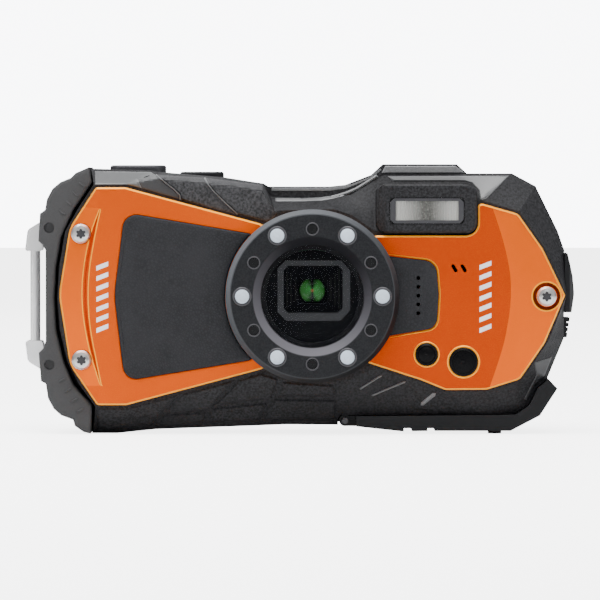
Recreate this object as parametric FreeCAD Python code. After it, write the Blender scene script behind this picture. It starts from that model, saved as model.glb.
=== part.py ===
"""Rugged waterproof compact camera, modelled as its separate pieces.

Units are millimetres. +Z is up, the lens looks along -Y, and +X is to the right
when the camera is seen from the front. Everything below is drawn with X = 0 on the
lens axis and Z = 0 on the table the camera stands on. save() then lowers each piece
by SEAT_HEIGHT, so that the origin of the finished part is the tripod socket's mouth.
"""
import FreeCAD, Part
import math
import os

# Overall depth stations (Y), from the rear face to the front of the lens ring
REAR_FACE = 11.9
GLASS_FACE = 12.5
SPLIT = -4.6
EDGE_PLANE = -5.0
SHELL_FRONT = -10.5
PLATE_FRONT = -12.3
RING_FRONT = -17.0

# Walls and gaps
WALL = 2.0
FRONT_WALL = 2.0
REAR_WALL = 1.5
GAP = 0.12
SLIP = 0.03
SEAT_HEIGHT = 2.0
GASKET_INSET = 0.7
GASKET_WIDTH = 0.8
GASKET_HALF = 0.4
BEFORE = -20.0
BEHIND = 20.0

# Screws that join the shells: centre X, centre Z
CASE_SCREWS = [(-53.0, 20.0), (-51.0, 49.5), (54.6, 25.0), (-10.5, 6.8)]
CASE_SCREW_R = 0.8
CASE_SCREW_HEAD_R = 1.5
CASE_SCREW_HEAD_HEIGHT = 1.05
CASE_SCREW_SINK = 0.1
CASE_BOSS_R = 1.7

# Lens ring
LENS_Z = 31.6
RING_R = 19.7
RING_FACE_R = 18.4
CONE_OUT_R = 13.5
CONE_IN_R = 11.65
PLATE_HOLE_R = 17.9
THROAT_R = 11.0
LED_CIRCLE_R = 15.9
LED_R = 1.65
RING_SCREW_CIRCLE_R = 15.3
RING_SCREW_HEAD_R = 0.95
RING_SCREW_SHANK_R = 0.5
RING_COUNT = 6

# Face plate screws: centre X, centre Z
PLATE_SCREWS = [(-52.6, 45.75), (-52.5, 17.0), (53.3, 31.5)]
PLATE_SCREW_HEAD_R = 2.25
PLATE_SCREW_SHANK_R = 0.95
PLATE_SCREW_HEAD_Y = -12.0
PLATE_SCREW_DRIVE_R = 1.15

# Speaker, lamp and receiver
SPEAKER_HOLE_X = 24.1
SPEAKER_HOLE_TOP_Z = 35.7
SPEAKER_HOLE_PITCH = 2.0
SPEAKER_HOLES = 5
SPEAKER_HOLE_R = 0.45
MIC_SLOTS = [(32.3, 37.9), (34.4, 37.9)]
LAMP = (26.0, 18.3, 2.55)
RECEIVER = (34.4, 16.6, 3.25)
WINDOW_BACK = -8.4

# Flash
FLASH_BLOCK = (14.6, 37.5, 45.9, 57.1)
FLASH_FRONT = -12.6
FLASH_BACK = -6.0
FLASH_WINDOW = (17.5, 34.6, 47.9, 54.0)
FLASH_CORNER = 2.5
FLASH_SLOPE_WIDTH = 2.1
FLASH_SLOPE_DEPTH = 1.6
FLASH_SEAT = -11.25

# Strap bar
BAR_X = -63.7
BAR_R = 1.15
BAR_BOTTOM = 18.5
BAR_TOP = 44.3
LUG_HALF_DEPTH = 3.2
BUMPER_PINS = [(-59.95, 47.1), (-59.95, 15.9)]
BUMPER_PIN_R = 1.15

# Buttons on the top: x range, y range, then heights of the top and of the ledge under the wall
SHUTTER = (-46.4, -33.6, -3.4, 5.6)
SHUTTER_TOP = 61.4
SHUTTER_LEDGE = 57.7
SHUTTER_CORNER = 3.4
POWER = (-30.4, -20.3, -2.6, 4.4)
POWER_TOP = 59.9
POWER_LEDGE = 56.3
POWER_CORNER = 3.0
BUTTON_LIP = 0.5
FLANGE_HEIGHT = 0.7
SPRING_HEIGHT = 5.2
SPRING_WIRE_R = 0.2

# Keys on the back: centre X, centre Z, radius
ROCKER = (-38.0, 50.5)
ROCKER_SIZE = (14.0, 5.6)
ROCKER_AXIS_Y = 9.75
PLAYBACK = (-19.0, 50.5, 2.6)
MOVIE = (-12.5, 43.5, 2.6)
OK_KEY = (-27.0, 27.5, 3.5)
MENU = (-15.5, 11.5, 2.6)
NAV_INNER_R = 4.3
NAV_OUTER_R = 9.4
NAV_HALF_ANGLE = 38.0
KEY_FLANGE = 0.7
KEY_FLANGE_BACK = REAR_FACE - REAR_WALL - 0.05
KEY_TOP = 12.5

# Rear screen
LCD_WINDOW = (-6.5, 51.2, 9.4, 53.6)
LCD_ACTIVE = (-3.4, 46.0, 12.8, 49.8)

# Battery, card and their door
BATTERY = (12.6, 43.4, -2.5, 4.1, 7.6, 44.2)
CARD = (16.0, 40.0, 4.6, 6.7, 7.8, 39.8)
DOOR_HINGE = (7.5, 3.0)
DOOR_HINGE_R = 0.7
KNUCKLE_R = 1.35
HINGE_LUG_REACH = 1.5
DOOR_FRONT = -8.7
DOOR_REAR = 10.6
KNUCKLE_FRONT = -6.2
KNUCKLE_REAR = 8.2
DOOR_FEET = [(41.75, -5.5), (41.75, 7.5)]
DOOR_FOOT_R = 1.55
DOOR_OPENING = (11.6, 44.6, -3.3, 7.2)
DOOR_PLUG_TOP = 5.8
DOOR_STOP_X = 5.9
DOOR_NOTCHES = [(20.9, 22.8), (26.3, 28.0)]
DOOR_NOTCH_TOP = 1.3

# Door lock: x, x, y, y
LOCK = (31.0, 38.0, -2.0, 4.0)
LOCK_TRAVEL = 2.5
LOCK_BOTTOM = 0.75
LOCK_TOP = 2.35

# Side cover over the sockets
COVER_HINGE = (58.2, 7.0)
COVER_HINGE_R = 0.4
COVER_KNUCKLE_R = 0.8
COVER_BOTTOM = 27.7
COVER_TOP = 41.2
PORT_OPENING = (-3.3, 4.6, 29.4, 39.4)
COVER_EAR = 1.15

# Tripod socket, 1/4 inch by 20 threads an inch, tapped to its minor diameter
TRIPOD_R = 2.55
TRIPOD_DEPTH = 5.5
TRIPOD_BODY_R = 4.1
TRIPOD_FLANGE_R = 5.5
TRIPOD_LEDGE = 4.1

# Folded optics
OPTICS_BOX = (-50.0, 11.0, -7.6, 6.2, 22.0, 41.4)
OPTICS_WALL = 1.2
ROD_R = 0.6
OPTICS_Y = -1.0
ROD_Z = [24.8, 38.6]
ROD_ENDS = (-44.9, -7.0)
SCREW_AT = (-4.6, 25.0)

# Body outline seen from the front, with the matching corner of its flat front.
# Each row is outer x, outer z, front x, front z, clockwise from the top left.
BODY_CORNERS = [
    (-50.6, 60.6, -49.7, 57.0),
    (-36.9, 60.2, -42.3, 57.0),
    (-35.4, 59.9, -35.2, 58.3),
    (-20.1, 58.6, -20.1, 56.9),
    (-11.2, 57.2, -11.4, 55.5),
    (-10.1, 56.5, -8.5, 51.0),
    (4.0, 56.5, 5.0, 51.3),
    (7.7, 56.9, 9.0, 50.0),
    (13.7, 59.2, 14.2, 46.4),
    (16.3, 61.6, 18.0, 46.2),
    (33.1, 61.6, 34.3, 46.2),
    (35.4, 59.5, 37.0, 48.9),
    (45.7, 59.5, 38.5, 53.3),
    (51.1, 56.6, 47.1, 50.9),
    (56.2, 46.3, 52.8, 42.8),
    (57.9, 41.4, 54.8, 39.0),
    (58.1, 31.7, 57.9, 31.7),
    (57.6, 21.7, 53.9, 21.5),
    (53.9, 12.7, 47.7, 12.3),
    (52.0, 4.2, 39.9, 9.8),
    (45.3, 0.7, 30.2, 9.7),
    (28.0, 0.7, 24.3, 12.0),
    (20.4, 0.6, 14.0, 15.2),
    (7.9, 1.9, 7.0, 11.6),
    (-6.0, 2.0, -3.0, 11.6),
    (-13.4, 1.7, -13.0, 14.0),
    (-36.0, 0.9, -30.0, 9.2),
    (-44.6, 0.0, -42.2, 6.1),
    (-50.4, 0.0, -49.3, 6.1),
    (-50.1, 6.7, -49.5, 6.5),
    (-54.3, 11.3, -53.0, 11.5),
    (-56.6, 16.6, -55.7, 16.6),
    (-58.3, 23.8, -57.4, 23.8),
    (-58.7, 30.9, -58.0, 30.9),
    (-58.3, 38.1, -57.6, 38.1),
    (-57.1, 44.8, -56.2, 46.4),
    (-54.3, 51.0, -53.3, 51.4),
    (-50.1, 57.2, -49.9, 56.6),
]

# Where the front shell's edge stands lower than the rear shell's: rear corner to front corner
FRONT_EDGE_CORNERS = {
    (-10.1, 56.5): (-9.6, 54.2),
    (4.0, 56.5): (1.0, 53.7),
    (7.7, 56.9): (8.8, 54.6),
    (13.7, 59.2): (13.6, 57.4),
    (16.3, 61.6): (16.3, 59.1),
    (33.1, 61.6): (33.1, 59.2),
}

# Bumper: outer edge from the bottom up
BUMPER_EDGE = [
    (-50.6, 0.1), (-52.2, 0.5), (-54.2, 1.9), (-54.6, 3.3), (-57.3, 4.3), (-59.0, 5.8),
    (-60.3, 8.2), (-60.8, 11.5), (-61.9, 12.1), (-62.4, 18.6), (-61.4, 19.5), (-60.8, 21.3),
    (-60.8, 42.0), (-61.5, 43.3), (-62.4, 44.0), (-62.1, 50.3), (-60.9, 51.2), (-60.5, 53.6),
    (-59.2, 56.0), (-57.4, 57.5), (-55.0, 58.5), (-53.9, 59.6), (-50.9, 60.9),
]
BUMPER_SEAM = [
    (-50.25, 57.4), (-54.45, 51.1), (-57.25, 44.9), (-58.45, 38.1), (-58.85, 30.9),
    (-58.45, 23.7), (-56.75, 16.5), (-54.45, 11.2), (-50.25, 6.6),
]

# Face plate: x, z, corner radius
PLATE_OUTLINE = [
    (-49.2, 56.3, 1.0), (-42.5, 56.3, 1.5), (-11.9, 48.1, 1.0), (0.0, 42.0, 0.0),
    (14.7, 45.35, 0.0), (37.75, 45.35, 2.9), (37.65, 52.9, 0.9),
    (46.8, 50.3, 2.0), (52.4, 42.4, 6.0), (57.6, 31.75, 0.8), (52.9, 20.8, 6.0),
    (47.25, 12.6, 2.0), (39.7, 10.3, 2.0), (30.3, 10.2, 2.0), (24.6, 12.5, 2.0),
    (13.5, 16.1, 0.0), (0.0, 21.0, 0.0), (-11.7, 14.9, 1.0), (-42.3, 6.75, 1.5),
    (-49.0, 6.75, 1.0), (-55.2, 15.8, 8.0), (-57.7, 31.9, 12.0), (-55.2, 47.2, 8.0),
]
PAD_OUTLINE = [
    (-42.7, 50.55, 3.2), (-45.0, 31.6, 20.0), (-42.7, 12.25, 3.2), (-14.1, 17.0, 1.0),
    (-5.0, 31.4, 0.0), (-14.1, 45.75, 1.0),
]
SPEAKER_OUTLINE = [
    (14.0, 41.0, 0.0), (28.1, 39.4, 3.2), (28.7, 31.8, 12.0), (28.2, 24.4, 2.6), (14.0, 22.0, 0.0),
]
BOARD_OUTLINE = [
    (-47.0, 18.0), (-50.0, 24.0), (-50.0, 44.0), (-47.0, 46.0), (-47.0, 52.0), (-12.0, 51.0),
    (12.0, 51.0), (14.0, 47.0), (50.0, 47.0), (53.0, 40.0), (53.0, 28.5), (46.0, 16.0),
    (14.0, 9.0), (-2.0, 11.5), (-14.0, 9.6), (-40.0, 6.6),
]
BOARD_FRONT = 7.3
BOARD_BACK = 8.3
SWITCH_HEIGHT = 0.6
FLOOR_PROFILE = [
    (3.6, 3.0), (46.4, 3.6), (49.3, 5.8), (51.3, 9.8), (54.6, 12.0), (57.5, 15.2), (54.2, 16.4),
    (48.6, 13.6), (46.4, 9.2), (44.6, 7.0), (3.6, 6.9),
]
DOOR_PROFILE = [
    (10.1, 1.7), (20.4, 0.6), (28.0, 0.7), (45.3, 0.7), (52.0, 4.2), (56.0, 10.4),
    (54.0, 12.5), (51.6, 10.6), (49.6, 6.6), (46.5, 4.4), (10.1, 4.0),
]


def vec(x, y, z):
    return FreeCAD.Vector(x, y, z)


def box(x0, x1, y0, y1, z0, z1):
    return Part.makeBox(x1 - x0, y1 - y0, z1 - z0, vec(x0, y0, z0))


def rod_y(x, z, radius, y0, y1):
    return Part.makeCylinder(radius, y1 - y0, vec(x, y0, z), vec(0, 1, 0))


def rod_x(y, z, radius, x0, x1):
    return Part.makeCylinder(radius, x1 - x0, vec(x0, y, z), vec(1, 0, 0))


def rod_z(x, y, radius, z0, z1):
    return Part.makeCylinder(radius, z1 - z0, vec(x, y, z0), vec(0, 0, 1))


def polygon_wire(points, y):
    """Closed straight-sided wire through (x, z) points at depth y."""
    corners = [vec(p[0], y, p[1]) for p in points]
    return Part.makePolygon(corners + corners[:1])


def grown(points, distance):
    """Outline moved outwards by a distance (inwards when negative), with mitred corners."""
    count = len(points)
    turn = sum(points[i - 1][0] * points[i][1] - points[i][0] * points[i - 1][1] for i in range(count))
    side = 1.0 if turn > 0 else -1.0
    moved = []
    for index, point in enumerate(points):
        before = points[index - 1]
        after = points[(index + 1) % count]
        normals = []
        for start, end in ((before, point), (point, after)):
            dx = end[0] - start[0]
            dz = end[1] - start[1]
            length = math.hypot(dx, dz)
            normals.append((side * dz / length, -side * dx / length))
        (ax, az), (bx, bz) = normals
        scale = distance / (1.0 + ax * bx + az * bz)
        moved.append((point[0] + (ax + bx) * scale, point[1] + (az + bz) * scale) + tuple(point[2:]))
    return moved


def slab(points, y0, y1):
    """Solid between two depths whose outline is the polygon through (x, z) points."""
    return Part.Face(polygon_wire(points, y0)).extrude(vec(0, y1 - y0, 0))


def corner_tangent(corner, neighbour, distance):
    """Point on the way from a corner to its neighbour."""
    direction = neighbour - corner
    direction.normalize()
    return corner + direction * distance


def rounded_wire(points, y):
    """Closed wire at depth y through (x, z, radius) points, with each corner rounded."""
    places = [vec(x, y, z) for x, z, radius in points]
    edges = []
    ends = []
    for index, (x, z, radius) in enumerate(points):
        here = places[index]
        before = places[index - 1]
        after = places[(index + 1) % len(places)]
        if radius <= 0:
            ends.append((here, here, None))
            continue
        half_angle = (before - here).getAngle(after - here) / 2
        distance = radius / math.tan(half_angle)
        start = corner_tangent(here, before, distance)
        end = corner_tangent(here, after, distance)
        inward = (start + end) * 0.5 - here
        inward.normalize()
        middle = here + inward * (radius / math.sin(half_angle) - radius)
        ends.append((start, end, middle))
    for index, (start, end, middle) in enumerate(ends):
        if middle is not None:
            edges.append(Part.Arc(start, middle, end).toShape())
        following = ends[(index + 1) % len(ends)][0]
        if end.distanceToPoint(following) > 1e-6:
            edges.append(Part.makeLine(end, following))
    return Part.Wire(edges)


def rounded_slab(points, y0, y1):
    return Part.Face(rounded_wire(points, y0)).extrude(vec(0, y1 - y0, 0))


def rounded_box(x0, x1, z0, z1, radius, y0, y1):
    corners = [(x0, z0, radius), (x0, z1, radius), (x1, z1, radius), (x1, z0, radius)]
    return rounded_slab(corners, y0, y1)


def turned(profile, x=0.0, z=LENS_Z):
    """Solid of revolution about a Y axis through (x, z); the profile is (radius, y)."""
    corners = [vec(x + r, y, z) for r, y in profile]
    face = Part.Face(Part.makePolygon(corners + corners[:1]))
    return face.revolve(vec(x, 0, z), vec(0, 1, 0), 360)


def edges_at(shape, y, tolerance=1e-4):
    """Edges that lie wholly in the plane at depth y."""
    found = []
    for edge in shape.Edges:
        bounds = edge.BoundBox
        if abs(bounds.YMin - y) < tolerance and abs(bounds.YMax - y) < tolerance:
            found.append(edge)
    return found


def joined(shapes):
    result = shapes[0]
    for shape in shapes[1:]:
        result = result.fuse(shape)
    return result.removeSplitter()


def without(shape, tools):
    for tool in tools:
        shape = shape.cut(tool)
    return shape


def around(count, radius, first_angle=0.0):
    """Points (x, z) evenly round the lens axis."""
    places = []
    for index in range(count):
        angle = math.radians(first_angle + 360.0 * index / count)
        places.append((radius * math.cos(angle), LENS_Z + radius * math.sin(angle)))
    return places


def save(name, shape):
    """Lower the piece so that the origin is the tripod seat, and write its STEP."""
    if isinstance(shape, list):
        shape = Part.makeCompound(shape)
    lowered = shape.copy()
    lowered.translate(vec(0, 0, -SEAT_HEIGHT))
    lowered.exportStep("parts/" + name + ".step")


# ---------------------------------------------------------------- shells

def body_outline():
    return [(row[0], row[1]) for row in BODY_CORNERS]


def front_outline():
    """Outline of the front shell's edge, which dips below the rear shell between grip and flash."""
    return [FRONT_EDGE_CORNERS.get(corner, corner) for corner in body_outline()]


def facet_block():
    """Solid from the split to the flat front, whose sides fold in from the outline."""
    outer = polygon_wire(front_outline(), EDGE_PLANE)
    inner = polygon_wire([(row[2], row[3]) for row in BODY_CORNERS], SHELL_FRONT)
    return Part.makeLoft([outer, inner], True, True)


def inset_slab(inset, y0, y1):
    """Slab of the front shell's outline shrunk by an inset."""
    return slab(grown(front_outline(), -inset), y0, y1)


def door_cut():
    """Space the battery door takes out of the shells, with its gap."""
    plate = slab(grown(DOOR_PROFILE, GAP), DOOR_FRONT - GAP, DOOR_REAR + GAP)
    x, z = DOOR_HINGE
    front = KNUCKLE_FRONT - GAP
    rear = KNUCKLE_REAR + GAP
    knuckle = rod_y(x, z, KNUCKLE_R + 0.25, front, rear)
    bridge = box(x, DOOR_PROFILE[0][0], front, rear, 0.0, DOOR_PROFILE[-1][1] + 0.4)
    below = box(x - KNUCKLE_R - 0.25, x, front, rear, 0.0, z)
    swing_room = box(x + HINGE_LUG_REACH + 0.1, DOOR_PROFILE[0][0], DOOR_FRONT - GAP,
                     DOOR_REAR + GAP, 0.0, z)
    return joined([plate, knuckle, bridge, below, swing_room])


def top_holes():
    """Openings in the top wall for the two top buttons."""
    holes = []
    for (x0, x1, y0, y1), corner in ((SHUTTER, SHUTTER_CORNER), (POWER, POWER_CORNER)):
        holes.append(top_button_slab(x0 - GAP, x1 + GAP, y0 - GAP, y1 + GAP, 50.0, 66.0, corner + GAP))
    return holes


def top_button_slab(x0, x1, y0, y1, z0, z1, radius):
    block = box(x0, x1, y0, y1, z0, z1)
    uprights = []
    for edge in block.Edges:
        if edge.BoundBox.ZLength > 1e-3:
            uprights.append(edge)
    return block.makeFillet(radius, uprights)


def inside_outline(points, y0, y1):
    """Slab of a polygon, kept within the body outline."""
    return slab(points, y0, y1).common(slab(body_outline(), y0, y1))


def shell_floor(y0, y1):
    """Inner floor over the battery door, which the door's plug closes."""
    return inside_outline(FLOOR_PROFILE, y0, y1)


def bottom_fittings():
    """Holes through the bottom for the tripod socket and the door's hinge."""
    x, z = DOOR_HINGE
    socket = rod_z(0, 0, TRIPOD_BODY_R + SLIP, 0.0, 9.0)
    flange = rod_z(0, 0, TRIPOD_FLANGE_R + SLIP, TRIPOD_LEDGE, 7.2)
    hinge = rod_y(x, z, DOOR_HINGE_R + SLIP, -12.0, 12.0)
    return [socket, flange, hinge]


def sealed_area(inset, y0, y1):
    """Inside of the seal line: the body outline less the bay of the battery door."""
    bay = [(DOOR_STOP_X, -2.0), (62.0, -2.0), (62.0, 14.4), (53.6, 12.8), (51.4, 10.7), (49.6, 6.7),
           (46.5, 4.5), (DOOR_STOP_X, 4.2)]
    return inset_slab(inset, y0, y1).cut(slab(grown(bay, inset), y0 - 1.0, y1 + 1.0))


def gasket_ring(extra=0.0):
    """Seal between the two shells, or with some extra the groove it lies in."""
    depth = GASKET_HALF + extra
    outer = sealed_area(GASKET_INSET - extra, SPLIT - depth, SPLIT + depth)
    inner = sealed_area(GASKET_INSET + GASKET_WIDTH + extra, SPLIT - 1.0, SPLIT + 1.0)
    return outer.cut(inner)


def shell_gasket():
    return gasket_ring()


def front_shell():
    outer = joined([facet_block(), slab(front_outline(), EDGE_PLANE, SPLIT)])
    cavity = inset_slab(WALL, SHELL_FRONT + FRONT_WALL, SPLIT + 0.5)
    folded_in = facet_block()
    folded_in.translate(vec(0, FRONT_WALL + 0.3, 0))
    cavity = cavity.common(folded_in)
    shell = outer.cut(cavity)
    floor = shell_floor(DOOR_FRONT - 0.6, SPLIT).common(outer)
    lug = hinge_lug(-8.9, KNUCKLE_FRONT - GAP).common(outer)
    shell = joined([shell, floor, lug] + ring_bosses())
    flash_x0, flash_x1, flash_z0, flash_z1 = FLASH_BLOCK
    cuts = [
        rod_y(0, LENS_Z, THROAT_R, -12.0, -6.0),
        rounded_box(flash_x0 - GAP, flash_x1 + GAP, flash_z0 - GAP, flash_z1 + GAP, 2.5, -14.0, FLASH_BACK),
        rod_y(LAMP[0], LAMP[1], LAMP[2] + SLIP, -13.0, -8.0),
        rod_y(RECEIVER[0], RECEIVER[1], RECEIVER[2] + SLIP, -13.0, -8.0),
        gasket_ring(0.03),
        side_cut(),
        door_cut(),
    ]
    cuts += bottom_fittings() + speaker_holes() + mic_slots()
    for x, z in PLATE_SCREWS:
        cuts.append(rod_y(x, z, PLATE_SCREW_SHANK_R + SLIP, -13.0, -7.5))
    for x, z in around(RING_COUNT, RING_SCREW_CIRCLE_R, 30.0):
        cuts.append(rod_y(x, z, RING_SCREW_SHANK_R + SLIP, -13.0, -8.2))
    return without(shell, cuts)


def case_bosses(y0, y1):
    return [rod_y(x, z, CASE_BOSS_R, y0, y1) for x, z in CASE_SCREWS]


def ring_bosses():
    """Pads behind the front wall that the lens ring's screws bite into."""
    return [rod_y(x, z, 1.3, -8.6, -7.8) for x, z in around(RING_COUNT, RING_SCREW_CIRCLE_R, 30.0)]


def hinge_lug(y0, y1):
    """Lug that holds one end of the door's hinge pin."""
    x, z = DOOR_HINGE
    return inside_outline([(x - 2.4, 0.0), (x + HINGE_LUG_REACH, 0.0), (x + HINGE_LUG_REACH, 5.0),
                           (x - 2.4, 5.0)], y0, y1)


def side_cut():
    """Flat on the right side that the socket cover closes onto."""
    return box(57.62, 62.0, -6.6, 8.6, 21.4, 41.6)


def port_cut():
    y0, y1, z0, z1 = PORT_OPENING
    return box(54.0, 60.0, y0, y1, z0, z1)


def spring_shelf():
    """Arm inside the rear shell that the shutter spring stands on."""
    top = SHUTTER_LEDGE - FLANGE_HEIGHT - 0.25 - SPRING_HEIGHT - SPRING_WIRE_R - 0.02
    return slab([(-49.5, 58.5), (-47.3, 58.5), (-47.3, top), (-37.5, top), (-37.5, top - 1.0),
                 (-49.5, top - 1.0)], -1.2, 3.4)


def rear_shell():
    outer = slab(body_outline(), SPLIT, REAR_FACE)
    outer = outer.makeChamfer(1.1, edges_at(outer, REAR_FACE))
    cavity = inset_slab(WALL, SPLIT - 1.0, REAR_FACE - REAR_WALL)
    added = [shell_floor(SPLIT, 10.4), hinge_lug(KNUCKLE_REAR + GAP, 10.4), spring_shelf()]
    shell = joined([outer.cut(cavity)] + added + case_bosses(SPLIT, REAR_FACE - 1.3) + cover_lugs())
    glass_x0, glass_x1, glass_z0, glass_z1 = LCD_WINDOW
    active_x0, active_x1, active_z0, active_z1 = LCD_ACTIVE
    opening_x0, opening_x1, opening_y0, opening_y1 = DOOR_OPENING
    cuts = [
        rounded_box(glass_x0 - GAP, glass_x1 + GAP, glass_z0 - GAP, glass_z1 + GAP, 2.1, 11.1, 14.0),
        rounded_box(active_x0, active_x1, active_z0, active_z1, 0.5, 9.0, 14.0),
        box(opening_x0, opening_x1, opening_y0, opening_y1, 2.0, 9.0),
        gasket_ring(0.03),
        side_cut().cut(joined(cover_lugs())),
        port_cut(),
        door_cut(),
        rod_z(COVER_HINGE[0], COVER_HINGE[1], COVER_HINGE_R + SLIP, 26.0, 43.0),
        rod_z(COVER_HINGE[0], COVER_HINGE[1], COVER_KNUCKLE_R + 0.15, COVER_BOTTOM + COVER_EAR,
              COVER_TOP - COVER_EAR),
    ]
    cuts += top_holes() + bottom_fittings()
    cuts += [key_hole(key) for key in (PLAYBACK, MOVIE, OK_KEY, MENU)]
    cuts += [nav_sector(angle, GAP, 9.0, 14.0) for angle in (0, 90, 180, 270)]
    cuts.append(rocker_slab(0.25, 9.0, 14.0))
    for x, z in CASE_SCREWS:
        cuts.append(rod_y(x, z, CASE_SCREW_R + SLIP, SPLIT - 1.0, 14.0))
        pocket = REAR_FACE - CASE_SCREW_SINK - CASE_SCREW_HEAD_HEIGHT - 0.05
        cuts.append(rod_y(x, z, CASE_SCREW_HEAD_R + 0.1, pocket, 14.0))
    return without(shell, cuts)


def rear_screws():
    """Case screws driven from behind through the rear shell into the front one."""
    screws = []
    for x, z in CASE_SCREWS:
        head_back = REAR_FACE - CASE_SCREW_SINK
        head_front = head_back - CASE_SCREW_HEAD_HEIGHT
        shank = rod_y(x, z, CASE_SCREW_R, SPLIT + 0.2, head_front + 0.05)
        head = rod_y(x, z, CASE_SCREW_HEAD_R, head_front, head_back)
        head = head.cut(cross_recess(x, z, head_back))
        screws.append(shank.fuse(head))
    return screws


def cross_recess(x, z, y):
    upright = box(x - 0.2, x + 0.2, y - 0.6, y + 0.1, z - 0.9, z + 0.9)
    across = box(x - 0.9, x + 0.9, y - 0.6, y + 0.1, z - 0.2, z + 0.2)
    return upright.fuse(across)


# ---------------------------------------------------------------- front face

def speaker_holes():
    holes = []
    for index in range(SPEAKER_HOLES):
        z = SPEAKER_HOLE_TOP_Z - SPEAKER_HOLE_PITCH * index
        holes.append(rod_y(SPEAKER_HOLE_X, z, SPEAKER_HOLE_R, -14.0, -7.0))
    return holes


def mic_slots():
    slots = []
    for x, z in MIC_SLOTS:
        slot = rounded_box(x - 0.4, x + 0.4, z - 1.0, z + 1.0, 0.39, -14.0, -7.0)
        slot.rotate(vec(x, 0, z), vec(0, 1, 0), -30)
        slots.append(slot)
    return slots


def face_plate():
    plate = rounded_slab(PLATE_OUTLINE, PLATE_FRONT, SHELL_FRONT)
    collar = rod_y(0, LENS_Z, RING_R - 0.4, PLATE_FRONT, SHELL_FRONT)
    plate = joined([plate, collar])
    cuts = [
        rod_y(0, LENS_Z, PLATE_HOLE_R, -14.0, -9.0),
        grown_slab(PAD_OUTLINE, 0.15, PLATE_FRONT - 0.5, PLATE_FRONT + 0.9),
        grown_slab(SPEAKER_OUTLINE, 0.12, PLATE_FRONT - 0.5, PLATE_FRONT + 0.9),
        rod_y(LAMP[0], LAMP[1], LAMP[2] + SLIP, -14.0, -9.0),
        rod_y(RECEIVER[0], RECEIVER[1], RECEIVER[2] + SLIP, -14.0, -9.0),
    ]
    for x, z in PLATE_SCREWS:
        cuts.append(rod_y(x, z, PLATE_SCREW_HEAD_R + 0.15, -14.0, PLATE_SCREW_HEAD_Y + 0.4))
        cuts.append(rod_y(x, z, PLATE_SCREW_SHANK_R + SLIP, -14.0, -9.0))
    return without(plate, cuts + speaker_holes() + mic_slots())


def grown_slab(points, growth, y0, y1):
    return rounded_slab(grown(points, growth), y0, y1)


def ring_clearance():
    """Room that the pad and the panel leave round the lens ring."""
    return [rod_y(0, LENS_Z, RING_R + 0.15, BEFORE, PLATE_FRONT),
            rod_y(0, LENS_Z, PLATE_HOLE_R + 0.15, BEFORE, SHELL_FRONT)]


def grip_pad():
    pad = rounded_slab(PAD_OUTLINE, PLATE_FRONT - 0.5, PLATE_FRONT + 0.85)
    return without(pad, ring_clearance())


def speaker_panel():
    panel = rounded_slab(SPEAKER_OUTLINE, PLATE_FRONT - 0.1, PLATE_FRONT + 0.85)
    return without(panel, speaker_holes() + ring_clearance())


def six_lobe(x, z, size, y0, y1):
    """Six-lobe driver recess."""
    lobes = [rod_y(x, z, size * 0.72, y0, y1)]
    for index in range(6):
        angle = math.radians(60.0 * index + 30.0)
        lobes.append(rod_y(x + size * 0.72 * math.cos(angle), z + size * 0.72 * math.sin(angle),
                           size * 0.28, y0, y1))
    return joined(lobes)


def plate_screws():
    """Button-head screws that hold the face plate."""
    screws = []
    for x, z in PLATE_SCREWS:
        head_y = PLATE_SCREW_HEAD_Y + 0.35
        shank = rod_y(x, z, PLATE_SCREW_SHANK_R, head_y, -7.8)
        head = turned([(0, head_y), (PLATE_SCREW_HEAD_R, head_y), (PLATE_SCREW_HEAD_R, head_y - 0.4),
                       (PLATE_SCREW_HEAD_R * 0.8, head_y - 0.95), (PLATE_SCREW_HEAD_R * 0.45, head_y - 1.2),
                       (0, head_y - 1.25)], x, z)
        recess = six_lobe(x, z, PLATE_SCREW_DRIVE_R, BEFORE, head_y - 0.3)
        screws.append(shank.fuse(head).cut(recess))
    return screws


def assist_lamp_window():
    x, z, radius = LAMP
    return turned([(0, WINDOW_BACK), (radius, WINDOW_BACK), (radius, PLATE_FRONT - 0.15),
                   (radius - 0.45, PLATE_FRONT - 0.45), (radius - 0.5, PLATE_FRONT - 0.2),
                   (radius * 0.47, PLATE_FRONT - 0.55), (0, PLATE_FRONT - 0.65)], x, z)


def receiver_window():
    x, z, radius = RECEIVER
    return turned([(0, WINDOW_BACK), (radius, WINDOW_BACK), (radius, PLATE_FRONT - 0.15),
                   (radius - 0.5, PLATE_FRONT - 0.4), (radius - 0.6, PLATE_FRONT - 0.1),
                   (0, PLATE_FRONT - 0.25)], x, z)


def speaker_driver():
    """Round miniature loudspeaker behind the row of holes."""
    centre_z = SPEAKER_HOLE_TOP_Z - SPEAKER_HOLE_PITCH * (SPEAKER_HOLES - 1) / 2
    return turned([(0, -7.9), (1.8, -7.6), (4.4, -7.8), (4.4, -8.1), (5.2, -8.1), (5.2, -5.8), (3.0, -5.8),
                   (3.0, -4.2), (0, -4.2)], SPEAKER_HOLE_X, centre_z)


# ---------------------------------------------------------------- lens ring

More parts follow.
